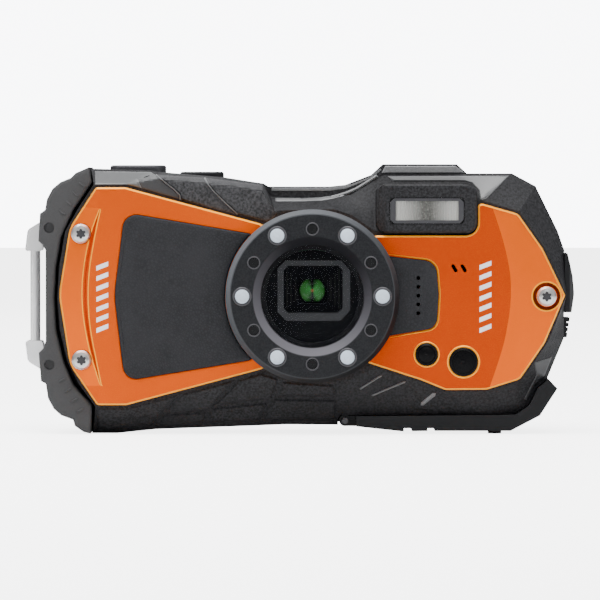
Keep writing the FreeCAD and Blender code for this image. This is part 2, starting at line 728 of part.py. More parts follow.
def lens_ring():
    ring = turned([
        (RING_R, PLATE_FRONT), (RING_R, RING_FRONT + 1.5), (RING_FACE_R + 0.35, RING_FRONT + 0.1),
        (RING_FACE_R, RING_FRONT), (CONE_OUT_R + 0.2, RING_FRONT), (CONE_OUT_R, RING_FRONT + 0.2),
        (CONE_IN_R, -14.75), (CONE_IN_R, -13.6), (THROAT_R - 0.4, -13.6), (THROAT_R - 0.4, -12.7),
        (12.7, -12.7), (12.7, -14.3), (17.75, -14.3), (17.75, PLATE_FRONT)])
    cuts = []
    for x, z in around(RING_COUNT, LED_CIRCLE_R):
        cuts.append(rod_y(x, z, LED_R + SLIP, -18.0, -14.0))
    for x, z in around(RING_COUNT, RING_SCREW_CIRCLE_R, 30.0):
        cuts.append(rod_y(x, z, RING_SCREW_HEAD_R + 0.3, -18.0, -16.2))
        cuts.append(rod_y(x, z, RING_SCREW_SHANK_R + SLIP, -18.0, -12.0))
    return without(ring, cuts)


def ring_base():
    """Ring under the lens ring: it stands on the front shell and carries the six lights."""
    base = turned([(12.8, -14.2), (17.65, -14.2), (17.65, SHELL_FRONT), (12.8, SHELL_FRONT)])
    chips = []
    for x, z in around(RING_COUNT, LED_CIRCLE_R):
        chips.append(box(x - 0.7, x + 0.7, -14.8, -14.1, z - 0.7, z + 0.7))
    base = joined([base] + chips)
    holes = []
    for x, z in around(RING_COUNT, RING_SCREW_CIRCLE_R, 30.0):
        holes.append(rod_y(x, z, RING_SCREW_SHANK_R + SLIP, BEFORE, -9.0))
    return without(base, holes)


def led_windows():
    """Domed diffusers over the ring lights."""
    domes = []
    for x, z in around(RING_COUNT, LED_CIRCLE_R):
        domes.append(turned([(0, -14.95), (1.2, -14.95), (1.2, -14.32), (LED_R, -14.32),
                             (LED_R, RING_FRONT),
                             (LED_R * 0.85, RING_FRONT - 0.22), (LED_R * 0.5, RING_FRONT - 0.4),
                             (0, RING_FRONT - 0.46)], x, z))
    return domes


def ring_screws():
    screws = []
    for x, z in around(RING_COUNT, RING_SCREW_CIRCLE_R, 30.0):
        shank = rod_y(x, z, RING_SCREW_SHANK_R, -16.3, -8.4)
        head = rod_y(x, z, RING_SCREW_HEAD_R, -16.75, -16.21)
        upright = box(x - 0.13, x + 0.13, -17.0, -16.5, z - 0.55, z + 0.55)
        across = box(x - 0.55, x + 0.55, -17.0, -16.5, z - 0.13, z + 0.13)
        screws.append(without(shank.fuse(head), [upright, across]))
    return screws


def lens_window():
    return rod_y(0, LENS_Z, CONE_IN_R - 0.03, -14.6, -13.62)


def lens_mask():
    """Black mask behind the window: a plate with a stepped rectangular funnel."""
    plate = rod_y(0, LENS_Z, THROAT_R - 0.45, -13.5, -12.9)
    frame = rounded_slab([(-7.6, 27.0, 1.8), (-7.6, 39.1, 1.8), (7.8, 39.1, 1.8), (7.8, 27.0, 1.8)],
                         -12.95, -8.2)
    mouth = rounded_slab([(-6.7, 27.9, 1.3), (-6.7, 38.4, 1.3), (6.9, 38.4, 1.3), (6.9, 27.9, 1.3)],
                         -14.0, -11.0)
    throat = rounded_box(-3.5, 3.5, 29.8, 35.8, 0.8, -14.0, -8.0)
    return without(joined([plate, frame]), [mouth, throat])


def front_lens():
    """First element of the folded lens, cut flat above and below."""
    lens = turned([(0, -10.2), (1.6, -10.05), (2.8, -9.6), (3.1, -9.3), (3.1, -7.2), (0, -7.2)], 0.0, 32.8)
    return lens.common(box(-6, 6, -12, -5, 30.3, 35.3))


# ---------------------------------------------------------------- folded optics

def optics_housing():
    x0, x1, y0, y1, z0, z1 = OPTICS_BOX
    wall = OPTICS_WALL
    shell = box(x0, x1, y0, y1, z0, z1)
    inside = box(x0 + wall, x1 - wall, y0 + wall, y1 + 1.0, z0 + wall, z1 - wall)
    front_hole = box(-4.2, 4.2, y0 - 1, y0 + wall + 0.1, 29.1, 36.6)
    return without(shell, [inside, front_hole])


def prism():
    """Right-angle prism that turns the light path towards the grip."""
    corners = [vec(-5.5, -6.2, 26.6), vec(5.5, -6.2, 26.6), vec(-5.5, 4.8, 26.6)]
    return Part.Face(Part.makePolygon(corners + corners[:1])).extrude(vec(0, 0, 11.0))


def lens_cell(x0, length, radius, with_nut):
    """Square lens holder that runs on both guide rods, with its glass element."""
    cell = box(x0, x0 + length, -6.0, 4.6, 23.4, 40.0)
    cuts = [rod_x(OPTICS_Y, z, ROD_R + 0.05, x0 - 1, x0 + length + 1) for z in ROD_Z]
    cuts.append(rod_x(OPTICS_Y, LENS_Z, radius, x0 - 1, x0 + length * 0.3))
    screw_y, screw_z = SCREW_AT
    cuts.append(rod_x(screw_y, screw_z, 0.75 if with_nut else 1.1, x0 - 1, x0 + length + 1))
    return without(cell, cuts)


def zoom_lens_group():
    return lens_cell(-18.0, 5.0, 4.4, True)


def focus_lens_group():
    return lens_cell(-37.5, 3.6, 4.0, False)


def guide_rods():
    return [rod_x(OPTICS_Y, z, ROD_R, ROD_ENDS[0], ROD_ENDS[1]) for z in ROD_Z]


def lead_screw():
    """Zoom lead screw with its turned thread grooves."""
    screw_y, screw_z = SCREW_AT
    shaft = rod_x(screw_y, screw_z, 0.7, -30.6, -8.0)
    grooves = []
    for index in range(18):
        x = -29.0 + index * 1.1
        ring = rod_x(screw_y, screw_z, 0.9, x, x + 0.35)
        ring = ring.cut(rod_x(screw_y, screw_z, 0.52, x - 1, x + 1))
        grooves.append(ring)
    return without(shaft, grooves)


def zoom_motor():
    """Small stepper motor beside the rods' far end, with its bearing for the screw."""
    screw_y, screw_z = SCREW_AT
    plate = box(-31.9, -31.1, -6.2, -2.4, 23.4, 28.0)
    can = rod_x(screw_y + 0.6, screw_z + 0.9, 2.2, -33.4, -31.8)
    hole = rod_x(screw_y, screw_z, 0.75, -31.5, -30.0)
    return joined([plate, can]).cut(hole)


def image_sensor():
    """Sensor package on its flexible board at the end of the light path."""
    board = box(-48.7, -47.9, -5.6, 4.4, 24.2, 39.0)
    package = box(-47.9, -46.4, -4.8, 2.8, 27.0, 36.2)
    glass = box(-46.4, -45.9, -4.2, 2.2, 27.7, 35.5)
    return joined([board, package, glass])


# ---------------------------------------------------------------- flash

def flash_housing():
    x0, x1, z0, z1 = FLASH_BLOCK
    block = rounded_box(x0, x1, z0, z1, FLASH_CORNER, FLASH_FRONT, FLASH_BACK)
    block = block.makeChamfer(0.5, edges_at(block, FLASH_FRONT))
    slope = [vec(x0 - 1.0, BEFORE, z0), vec(x0 - 1.0, FLASH_FRONT + FLASH_SLOPE_DEPTH, z0),
             vec(x0, FLASH_FRONT + FLASH_SLOPE_DEPTH, z0), vec(x0 + FLASH_SLOPE_WIDTH, FLASH_FRONT, z0),
             vec(x0 + FLASH_SLOPE_WIDTH, BEFORE, z0)]
    wedge = Part.Face(Part.makePolygon(slope + slope[:1])).extrude(vec(0, 0, z1 - z0))
    window_x0, window_x1, window_z0, window_z1 = FLASH_WINDOW
    seat = rounded_box(window_x0, window_x1, window_z0, window_z1, 1.1, BEFORE, FLASH_SEAT + 0.05)
    well = rounded_box(window_x0 + 0.6, window_x1 - 0.6, window_z0 + 0.6, window_z1 - 0.6, 0.8, BEFORE, 0.0)
    return without(block, [wedge, seat, well])


def flash_window():
    x0, x1, z0, z1 = FLASH_WINDOW
    gap = 0.06
    return rounded_box(x0 + gap, x1 - gap, z0 + gap, z1 - gap, 1.05, FLASH_FRONT + 0.25, FLASH_SEAT)


def flash_reflector():
    """Bright trough behind the flash window."""
    x0, x1, z0, z1 = FLASH_WINDOW
    middle = (z0 + z1) / 2
    trough = box(x0 + 0.9, x1 - 0.9, -11.0, -6.2, z0 + 0.9, z1 - 0.9)
    hollow = rod_x(-8.6, middle, 1.75, x0 + 1.3, x1 - 1.3)
    mouth = box(x0 + 1.3, x1 - 1.3, -12.0, -8.6, z0 + 1.3, z1 - 1.3)
    return without(trough, [hollow, mouth])


def flash_tube():
    x0, x1, z0, z1 = FLASH_WINDOW
    return rod_x(-8.4, (z0 + z1) / 2, 0.9, x0 + 1.4, x1 - 1.4)


def flash_capacitor():
    can = rod_x(0.8, 11.4, 3.7, -48.0, -22.0)
    rim = rod_x(0.8, 11.4, 3.9, -47.2, -46.6).cut(rod_x(0.8, 11.4, 3.5, -48.0, -46.0))
    return can.cut(rim)


# ---------------------------------------------------------------- side with the strap bar

def side_bumper():
    bumper = slab(BUMPER_EDGE + BUMPER_SEAM, -9.4, 11.4)
    bumper = bumper.makeChamfer(0.4, edges_at(bumper, 11.4))
    cuts = []
    for (x, z), (z0, z1) in zip(BUMPER_PINS, ((41.5, 48.6), (14.4, 21.3))):
        cuts.append(rod_y(x, z, BUMPER_PIN_R + SLIP, -12.0, 12.0))
        cuts.append(box(-66.0, -58.0, -LUG_HALF_DEPTH - GAP, LUG_HALF_DEPTH + GAP, z0, z1))
    return without(bumper, cuts)


def bumper_pins():
    """Pins through the bumper that hold the strap lugs."""
    return [rod_y(x, z, BUMPER_PIN_R, -9.5, 11.2) for x, z in BUMPER_PINS]


def strap_lugs():
    """Two polished ends that carry the strap bar."""
    upper_pin, lower_pin = BUMPER_PINS
    upper = rounded_slab([(-58.45, 48.4, 0.8), (-62.4, 48.4, 0.8), (-65.3, 46.6, 1.5), (-65.9, 41.7, 0.6),
                          (-62.0, 41.7, 0.5), (-61.3, 45.0, 0.6), (-58.45, 45.2, 0.5)],
                         -LUG_HALF_DEPTH, LUG_HALF_DEPTH)
    lower = rounded_slab([(-58.45, 14.6, 0.8), (-58.45, 17.9, 0.5), (-61.3, 18.0, 0.6), (-62.0, 21.1, 0.5),
                          (-65.9, 21.1, 0.6), (-65.3, 16.4, 1.5), (-62.4, 14.6, 0.8)],
                         -LUG_HALF_DEPTH, LUG_HALF_DEPTH)
    lugs = []
    for lug, pin in ((upper, upper_pin), (lower, lower_pin)):
        hole = rod_y(pin[0], pin[1], BUMPER_PIN_R + SLIP, -6.0, 6.0)
        bar_hole = rod_z(BAR_X, 0.0, BAR_R + SLIP, BAR_BOTTOM - 0.05, BAR_TOP + 0.05)
        lugs.append(lug.cut(hole).cut(bar_hole))
    return lugs


def strap_bar():
    return rod_z(BAR_X, 0.0, BAR_R, BAR_BOTTOM, BAR_TOP)


# ---------------------------------------------------------------- top buttons

def top_button(place, top, ledge, radius):
    """Button cap with a flange that keeps it in the case."""
    x0, x1, y0, y1 = place
    cap = top_button_slab(x0, x1, y0, y1, ledge - 0.1, top, radius)
    rim = []
    for edge in cap.Edges:
        if abs(edge.BoundBox.ZMin - top) < 1e-4 and abs(edge.BoundBox.ZMax - top) < 1e-4:
            rim.append(edge)
    cap = cap.makeFillet(0.6, rim)
    lip = BUTTON_LIP
    bottom = ledge - FLANGE_HEIGHT
    flange = top_button_slab(x0 - lip, x1 + lip, y0 - lip, y1 + lip, bottom, ledge, radius + lip)
    return cap.fuse(flange)


def shutter_button():
    return top_button(SHUTTER, SHUTTER_TOP, SHUTTER_LEDGE, SHUTTER_CORNER)


def power_button():
    return top_button(POWER, POWER_TOP, POWER_LEDGE, POWER_CORNER)


def shutter_spring():
    """Coil spring under the shutter button."""
    x0, x1, y0, y1 = SHUTTER
    helix = Part.makeHelix(1.1, SPRING_HEIGHT, 1.6)
    wire_section = Part.Wire([Part.makeCircle(SPRING_WIRE_R, vec(1.6, 0, 0), vec(0, 1, 0))])
    coil = Part.Wire(helix.Edges).makePipeShell([wire_section], True, True)
    top = SHUTTER_LEDGE - FLANGE_HEIGHT - 0.25
    coil.translate(vec((x0 + x1) / 2, (y0 + y1) / 2, top - SPRING_HEIGHT))
    return coil


# ---------------------------------------------------------------- back

def key_hole(key):
    x, z, radius = key
    return rod_y(x, z, radius + GAP, 9.0, 14.0)


def round_key(key):
    """Round push key: cap through the rear wall, flange behind it."""
    x, z, radius = key
    front = KEY_FLANGE_BACK - KEY_FLANGE
    return turned([(0, front), (radius + 0.5, front), (radius + 0.5, KEY_FLANGE_BACK),
                   (radius, KEY_FLANGE_BACK), (radius, KEY_TOP - 0.35), (radius - 0.35, KEY_TOP),
                   (0, KEY_TOP)], x, z)


def nav_sector(angle, growth, y0, y1):
    """One quarter key of the ring round the middle key."""
    x, z, radius = OK_KEY
    ring = rod_y(x, z, NAV_OUTER_R + growth, y0, y1).cut(rod_y(x, z, NAV_INNER_R - growth, y0 - 1, y1 + 1))
    half = math.radians(NAV_HALF_ANGLE)
    shift = growth / math.sin(half)
    reach = 20.0
    wedge = slab([(x - shift, z), (x + reach * math.cos(half), z + (reach + shift) * math.sin(half)),
                  (x + reach * math.cos(half), z - (reach + shift) * math.sin(half))], y0, y1)
    sector = ring.common(wedge)
    sector.rotate(vec(x, 0, z), vec(0, 1, 0), angle)
    return sector


def nav_key(angle):
    return nav_sector(angle, 0.0, KEY_FLANGE_BACK - KEY_FLANGE, KEY_TOP)


def rocker_slab(growth, y0, y1):
    x, z = ROCKER
    width, height = ROCKER_SIZE
    return rounded_box(x - width / 2 - growth, x + width / 2 + growth, z - height / 2 - growth,
                       z + height / 2 + growth, 2.4, y0, y1)


def zoom_rocker():
    """Zoom rocker that tips on its own short trunnions behind the wall."""
    x, z = ROCKER
    width, height = ROCKER_SIZE
    cap = rocker_slab(0.0, 10.3, KEY_TOP)
    waist = box(x - 1.6, x + 1.6, ROCKER_AXIS_Y - 0.3, 10.4, z - height / 2, z + height / 2)
    trunnion = rod_z(x, ROCKER_AXIS_Y, 0.55, z - height / 2 - 0.8, z + height / 2 + 0.8)
    dip = Part.makeCylinder(16.0, height + 4, vec(x, KEY_TOP + 15.6, z - height / 2 - 2), vec(0, 0, 1))
    return joined([cap.cut(dip), waist, trunnion])


def lcd_window():
    x0, x1, z0, z1 = LCD_WINDOW
    pane = rounded_box(x0, x1, z0, z1, 2.0, 11.15, GLASS_FACE)
    return pane.makeChamfer(0.25, edges_at(pane, GLASS_FACE))


def lcd_panel():
    x0, x1, z0, z1 = LCD_ACTIVE
    return box(x0 - 1.4, x1 + 1.4, 8.5, 10.3, z0 - 1.4, z1 + 1.2)


def main_board():
    """Main circuit board with the dome switches under the keys."""
    pieces = [slab(BOARD_OUTLINE, BOARD_FRONT, BOARD_BACK)]
    for x, z, radius in (PLAYBACK, MOVIE, OK_KEY, MENU):
        pieces.append(rod_y(x, z, 1.6, BOARD_BACK, BOARD_BACK + SWITCH_HEIGHT))
    for angle in (0, 90, 180, 270):
        reach = (NAV_INNER_R + NAV_OUTER_R) / 2
        x = OK_KEY[0] + reach * math.cos(math.radians(angle))
        z = OK_KEY[1] + reach * math.sin(math.radians(angle))
        pieces.append(rod_y(x, z, 1.4, BOARD_BACK, BOARD_BACK + SWITCH_HEIGHT))
    return joined(pieces)


# ---------------------------------------------------------------- battery, card and door

def battery_bay():
    """Moulded holder for the battery and the memory card."""
    x0, x1, y0, y1, z0, z1 = BATTERY
    card_x0, card_x1, card_y0, card_y1, card_z0, card_z1 = CARD
    bay = box(x0 - 1.0, x1 + 1.0, y0 - 0.9, card_y1 + 0.5, z0 - 0.4, z1 + 1.0)
    battery_pocket = box(x0 - 0.12, x1 + 0.12, y0 - 0.12, y1 + 0.12, z0 - 2.0, z1 + 0.1)
    card_pocket = box(card_x0 - 0.12, card_x1 + 0.12, card_y0 - 0.1, card_y1 + 0.1, z0 - 2.0, card_z1 + 0.1)
    return without(bay, [battery_pocket, card_pocket])


def battery():
    x0, x1, y0, y1, z0, z1 = BATTERY
    pack = box(x0, x1, y0, y1, z0, z1)
    uprights = [edge for edge in pack.Edges if edge.BoundBox.ZLength > 1.0]
    return pack.makeFillet(1.2, uprights)


def memory_card():
    x0, x1, y0, y1, z0, z1 = CARD
    outline = [(x0, z0), (x0, z1), (x1 - 4.0, z1), (x1, z1 - 4.0), (x1, z0)]
    return slab(outline, y0, y1)


def battery_door():
    door = slab(DOOR_PROFILE, DOOR_FRONT, DOOR_REAR)
    x, z = DOOR_HINGE
    knuckle = rod_y(x, z, KNUCKLE_R, KNUCKLE_FRONT, KNUCKLE_REAR)
    arm_end = DOOR_PROFILE[0][0] + 0.1
    arm_bottom = z - KNUCKLE_R + 0.03
    arm_top = DOOR_PROFILE[-1][1]
    bridge = slab([(x, arm_bottom), (arm_end, arm_bottom), (arm_end, arm_top), (x, arm_top)],
                  KNUCKLE_FRONT, KNUCKLE_REAR)
    x0, x1, y0, y1 = DOOR_OPENING
    plug = box(x0 + 1.0, x1 - 1.0, y0 + 1.0, y1 - 1.0, 3.5, DOOR_PLUG_TOP)
    feet = [rod_z(fx, fy, DOOR_FOOT_R, 0.0, 1.5) for fx, fy in DOOR_FEET]
    door = joined([door, knuckle, bridge, plug] + feet)
    notches = [box(nx0, nx1, BEFORE, BEHIND, 0.0, DOOR_NOTCH_TOP) for nx0, nx1 in DOOR_NOTCHES]
    hinge_hole = rod_y(x, z, DOOR_HINGE_R + 0.05, BEFORE, BEHIND)
    return without(door, notches + [hinge_hole, door_gasket(0.02), lock_pocket()])


def door_gasket(extra=0.0):
    """Silicone ring round the door's plug."""
    x0, x1, y0, y1 = DOOR_OPENING
    z0, z1 = 4.6 - extra, 5.4 + extra
    outer = box(x0 + 0.35, x1 - 0.35, y0 + 0.35, y1 - 0.35, z0, z1)
    inner = box(x0 + 1.5 + extra, x1 - 1.5 - extra, y0 + 1.5 + extra, y1 - 1.5 - extra, 3.0, 7.0)
    return outer.cut(inner)


def lock_pocket():
    x0, x1, y0, y1 = LOCK
    return box(x0 - LOCK_TRAVEL - 0.1, x1 + 0.1, y0 - 0.1, y1 + 0.1, 0.0, LOCK_TOP + 0.05)


def door_lock():
    """Finger slide that locks the battery door, with ribs across it."""
    x0, x1, y0, y1 = LOCK
    slide = box(x0, x1, y0, y1, LOCK_BOTTOM, LOCK_TOP)
    grooves = []
    for index in range(4):
        x = x0 + 1.2 + index * 1.4
        grooves.append(box(x, x + 0.5, y0 - 1, y1 + 1, 0.0, LOCK_BOTTOM + 0.3))
    return without(slide, grooves)


def hinge_pins():
    """Steel pins of the battery door and of the side cover."""
    x, z = DOOR_HINGE
    door_pin = rod_y(x, z, DOOR_HINGE_R, -8.95, 10.7)
    cover_pin = rod_z(COVER_HINGE[0], COVER_HINGE[1], COVER_HINGE_R, COVER_BOTTOM + 0.1, COVER_TOP - 0.1)
    return [door_pin, cover_pin]


# ---------------------------------------------------------------- side cover

def cover_lugs():
    """Ears on the rear shell that hold the side cover's pin."""
    x, y = COVER_HINGE
    lugs = []
    for z in (COVER_BOTTOM, COVER_TOP - COVER_EAR):
        ear = rod_z(x, y, COVER_KNUCKLE_R, z, z + COVER_EAR)
        arm = box(56.5, x, y - COVER_KNUCKLE_R, y + COVER_KNUCKLE_R, z, z + COVER_EAR)
        lugs.append(ear.fuse(arm))
    return lugs


def terminal_cover():
    """Side cover over the sockets, bulged outwards, hinged at its rear edge."""
    x, y = COVER_HINGE
    edge = y - COVER_KNUCKLE_R - 0.25
    profile = [vec(57.75, -6.2, 0), vec(57.75, edge, 0), vec(x + 0.95, edge, 0), vec(60.05, edge - 1.8, 0),
               vec(60.05, -3.6, 0), vec(58.9, -6.2, 0)]
    cover = Part.Face(Part.makePolygon(profile + profile[:1])).extrude(vec(0, 0, COVER_TOP - COVER_BOTTOM))
    cover.translate(vec(0, 0, COVER_BOTTOM))
    bulge = slab([(57.0, COVER_BOTTOM), (59.4, COVER_BOTTOM), (60.1, 31.9), (59.7, 35.9), (58.4, COVER_TOP),
                  (57.0, COVER_TOP)], -8.0, 10.0)
    cover = cover.common(bulge)
    low, high = COVER_BOTTOM + COVER_EAR + 0.1, COVER_TOP - COVER_EAR - 0.1
    knuckle = rod_z(x, y, COVER_KNUCKLE_R, low, high)
    strap = box(x - 0.2, x + COVER_KNUCKLE_R, edge - 0.5, y, low, high)
    port_y0, port_y1, port_z0, port_z1 = PORT_OPENING
    plug = box(56.6, 57.8, port_y0 + 0.3, port_y1 - 0.3, port_z0 + 0.3, port_z1 - 0.3)
    cover = joined([cover, knuckle, strap, plug])
    return cover.cut(rod_z(x, y, COVER_HINGE_R + 0.05, 20.0, 50.0))


def terminal_lock():
    """Slide under the side cover that keeps it shut."""
    block = slab([(57.72, 21.9), (57.72, 26.4), (59.1, 26.4), (58.4, 21.9)], -3.5, 4.5)
    grooves = []
    for index in range(3):
        z = 22.9 + index * 1.1
        grooves.append(box(58.35, 61.0, -4.0, 5.0, z, z + 0.4))
    return without(block, grooves)


# ---------------------------------------------------------------- bottom

def tripod_socket():
    """Threaded metal insert in the bottom, open downwards."""
    insert = rod_z(0, 0, TRIPOD_BODY_R, SEAT_HEIGHT, 8.6)
    flange = rod_z(0, 0, TRIPOD_FLANGE_R, TRIPOD_LEDGE + SLIP, 5.4)
    hole = rod_z(0, 0, TRIPOD_R, 0.0, SEAT_HEIGHT + TRIPOD_DEPTH)
    return insert.fuse(flange).cut(hole)


NODES = {
    "front_shell": front_shell,
    "rear_shell": rear_shell,
    "shell_gasket": shell_gasket,
    "rear_screws": rear_screws,
    "face_plate": face_plate,
    "grip_pad": grip_pad,
    "speaker_panel": speaker_panel,
    "plate_screws": plate_screws,
    "assist_lamp_window": assist_lamp_window,
    "receiver_window": receiver_window,
    "speaker_driver": speaker_driver,
    "lens_ring": lens_ring,
    "ring_base": ring_base,
    "led_windows": led_windows,
    "ring_screws": ring_screws,
    "lens_window": lens_window,
    "lens_mask": lens_mask,
    "front_lens": front_lens,
    "optics_housing": optics_housing,
    "prism": prism,
    "zoom_lens_group": zoom_lens_group,
    "focus_lens_group": focus_lens_group,
    "guide_rods": guide_rods,
    "lead_screw": lead_screw,
    "zoom_motor": zoom_motor,
    "image_sensor": image_sensor,
    "flash_housing": flash_housing,
    "flash_window": flash_window,
    "flash_reflector": flash_reflector,
    "flash_tube": flash_tube,
    "flash_capacitor": flash_capacitor,
    "side_bumper": side_bumper,
    "bumper_pins": bumper_pins,
    "strap_lugs": strap_lugs,
    "strap_bar": strap_bar,
    "shutter_button": shutter_button,
    "shutter_spring": shutter_spring,
    "power_button": power_button,
    "zoom_rocker": zoom_rocker,
    "lcd_window": lcd_window,
    "lcd_panel": lcd_panel,
    "main_board": main_board,
    "battery_bay": battery_bay,
    "battery": battery,
    "memory_card": memory_card,
    "battery_door": battery_door,
    "door_gasket": door_gasket,
    "door_lock": door_lock,
    "hinge_pins": hinge_pins,
    "terminal_cover": terminal_cover,
    "terminal_lock": terminal_lock,
    "tripod_socket": tripod_socket,
}
ROUND_KEYS = {
    "playback_button": PLAYBACK,
    "movie_button": MOVIE,
    "ok_button": OK_KEY,
    "menu_button": MENU,
}
NAV_KEYS = {
    "nav_left": 0,
    "nav_down": 90,
    "nav_right": 180,
    "nav_up": 270,
}


def main():
    os.makedirs("parts", exist_ok=True)
    for name, build in NODES.items():
        save(name, build())
    for name, key in ROUND_KEYS.items():
        save(name, round_key(key))
    for name, angle in NAV_KEYS.items():
        save(name, nav_key(angle))


main()
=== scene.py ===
"""Looks of the rugged compact camera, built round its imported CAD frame."""
import math

import bmesh
import bpy
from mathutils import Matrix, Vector
from mathutils.bvhtree import BVHTree
from mathutils.geometry import delaunay_2d_cdt


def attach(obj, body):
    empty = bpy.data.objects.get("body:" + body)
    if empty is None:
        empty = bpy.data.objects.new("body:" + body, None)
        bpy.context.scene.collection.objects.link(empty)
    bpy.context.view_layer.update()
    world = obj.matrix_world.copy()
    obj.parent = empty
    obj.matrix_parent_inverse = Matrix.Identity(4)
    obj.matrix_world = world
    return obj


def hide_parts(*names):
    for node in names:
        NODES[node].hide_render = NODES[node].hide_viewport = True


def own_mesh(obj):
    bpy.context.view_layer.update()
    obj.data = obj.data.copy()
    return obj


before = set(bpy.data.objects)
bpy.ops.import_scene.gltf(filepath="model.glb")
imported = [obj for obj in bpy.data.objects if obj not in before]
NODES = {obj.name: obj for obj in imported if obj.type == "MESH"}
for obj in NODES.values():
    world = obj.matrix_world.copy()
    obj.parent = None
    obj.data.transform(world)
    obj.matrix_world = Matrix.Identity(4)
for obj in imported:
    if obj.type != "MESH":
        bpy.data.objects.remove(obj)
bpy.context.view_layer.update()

# The drawing is in millimetres above the table; the frame's origin is the tripod seat.
MM = 0.001
SEAT = 2.0
LENS_Z = 31.6
SHELL_FRONT = -10.5
PLATE_FRONT = -12.3


def place(x, y, z):
    """A drawing point in millimetres as a point of the frame in metres."""
    return Vector((x * MM, y * MM, (z - SEAT) * MM))


# ---- outlines from the frame

FLAT_TOLERANCE = 0.02
FLAT_NORMAL = 0.9
MITRE_LIMIT = 0.4


def sides(loop):
    """Pairs of neighbouring points all the way round a loop."""
    return zip(loop, loop[1:] + loop[:1])


def loop_area(loop):
    """Area inside a loop, positive when it runs anticlockwise as seen from the front."""
    return sum(ax * bz - bx * az for (ax, az), (bx, bz) in sides(loop)) / 2


def flat_loops(node, y, facing):
    """Boundary loops, as lists of (x, z), of a node's flat faces at depth y, largest first."""
    mesh = NODES[node].data
    edges = {}
    for polygon in mesh.polygons:
        corners = [mesh.vertices[i].co for i in polygon.vertices]
        if any(abs(c.y / MM - y) > FLAT_TOLERANCE for c in corners):
            continue
        if polygon.normal.y * facing < FLAT_NORMAL:
            continue
        keys = [(round(c.x / MM, 3), round(c.z / MM + SEAT, 3)) for c in corners]
        edges.update(dict.fromkeys(sides(keys)))
    following = {a: b for a, b in edges if (b, a) not in edges}
    loops = []
    while following:
        start = next(iter(following))
        loop = [start]
        step = following.pop(start)
        while step != start and step in following:
            loop.append(step)
            step = following.pop(step)
        loops.append(loop)
    loops.sort(key=lambda loop: -abs(loop_area(loop)))
    return loops


def offset_loop(loop, distance):
    """Loop moved towards its own inside by a distance, with mitred corners."""
    side = 1.0 if loop_area(loop) > 0 else -1.0
    moved = []
    for index, (x, z) in enumerate(loop):
        normals = []
        for (ax, az), (bx, bz) in ((loop[index - 1], (x, z)), ((x, z), loop[(index + 1) % len(loop)])):
            length = math.hypot(bx - ax, bz - az) or 1.0
            normals.append((-(bz - az) / length, (bx - ax) / length))
        (px, pz), (qx, qz) = normals
        scale = distance * side / max(1.0 + px * qx + pz * qz, MITRE_LIMIT)
        moved.append((x + (px + qx) * scale, z + (pz + qz) * scale))
    return moved


def looped(loop):
    """Loop as a line that comes back to its first point."""
    return loop + loop[:1]


def anticlockwise(loop):
    """Loop running anticlockwise as seen from the front."""
    return loop if loop_area(loop) > 0 else loop[::-1]


def circle(x, z, radius, count=48):
    turns = [2 * math.pi * i / count for i in range(count)]
    return [(x + radius * math.cos(a), z + radius * math.sin(a)) for a in turns]


def inside(point, loop):
    x, z = point
    result = False
    for (ax, az), (bx, bz) in sides(loop):
        if (az > z) != (bz > z) and x < ax + (z - az) / (bz - az) * (bx - ax):
            result = not result
    return result


def heading(a, b):
    """Distance from a to b, and the sideways and upward parts of the unit step between them."""
    length = math.hypot(b[0] - a[0], b[1] - a[1])
    return length, (b[0] - a[0]) / length, (b[1] - a[1]) / length


def segment_distance(x, z, a, b):
    dx, dz = b[0] - a[0], b[1] - a[1]
    length = dx * dx + dz * dz
    t = ((x - a[0]) * dx + (z - a[1]) * dz) / length if length > 0 else 0.0
    t = min(1.0, max(0.0, t))
    return math.hypot(x - a[0] - t * dx, z - a[1] - t * dz)


def loop_distance(x, z, loop):
    return min(segment_distance(x, z, a, b) for a, b in sides(loop))


def clamp(value):
    return min(1.0, max(0.0, value))


def smooth(value):
    value = clamp(value)
    return value * value * (3 - 2 * value)


# ---- meshes from height maps

def in_scene(name, data):
    """New object of some data, in the scene."""
    thing = bpy.data.objects.new(name, data)
    bpy.context.scene.collection.objects.link(thing)
    return thing


BORDER_SHARE = 0.35
MERGE_DISTANCE = 1e-4
COARSE = 4.0
CASTING_START = -60.0
SHEET_SHARP_ANGLE = 28.0


def steady(value):
    """Height map with the one value everywhere."""
    return lambda x, z: value


def triangulated(outer, holes, lines, spacing):
    """Points and triangles of a region, with its loops and lines kept as edges."""
    points = []
    edges = []

    def add(path, closed):
        first = len(points)
        points.extend(path)
        last = len(path) if closed else len(path) - 1
        for i in range(last):
            edges.append((first + i, first + (i + 1) % len(path)))

    add(outer, True)
    for hole in holes:
        add(hole, True)
    for line in lines:
        add(line, False)
    xs = [p[0] for p in outer]
    zs = [p[1] for p in outer]
    border = [outer] + holes
    rows = int((max(zs) - min(zs)) / spacing)
    columns = int((max(xs) - min(xs)) / spacing)
    for row in range(1, rows + 1):
        for column in range(1, columns + 1):
            x = min(xs) + (column - 0.5 * (row % 2)) * spacing
            z = min(zs) + row * spacing
            if not inside((x, z), outer) or any(inside((x, z), hole) for hole in holes):
                continue
            if min(loop_distance(x, z, loop) for loop in border) > spacing * BORDER_SHARE:
                points.append((x, z))
    found = delaunay_2d_cdt([Vector(p) for p in points], edges, [], 0, MERGE_DISTANCE, False)
    places = [(v.x, v.y) for v in found[0]]
    triangles = []
    for face in found[2]:
        x = sum(places[i][0] for i in face) / 3
        z = sum(places[i][1] for i in face) / 3
        if inside((x, z), outer) and not any(inside((x, z), hole) for hole in holes):
            triangles.append(face)
    return places, triangles


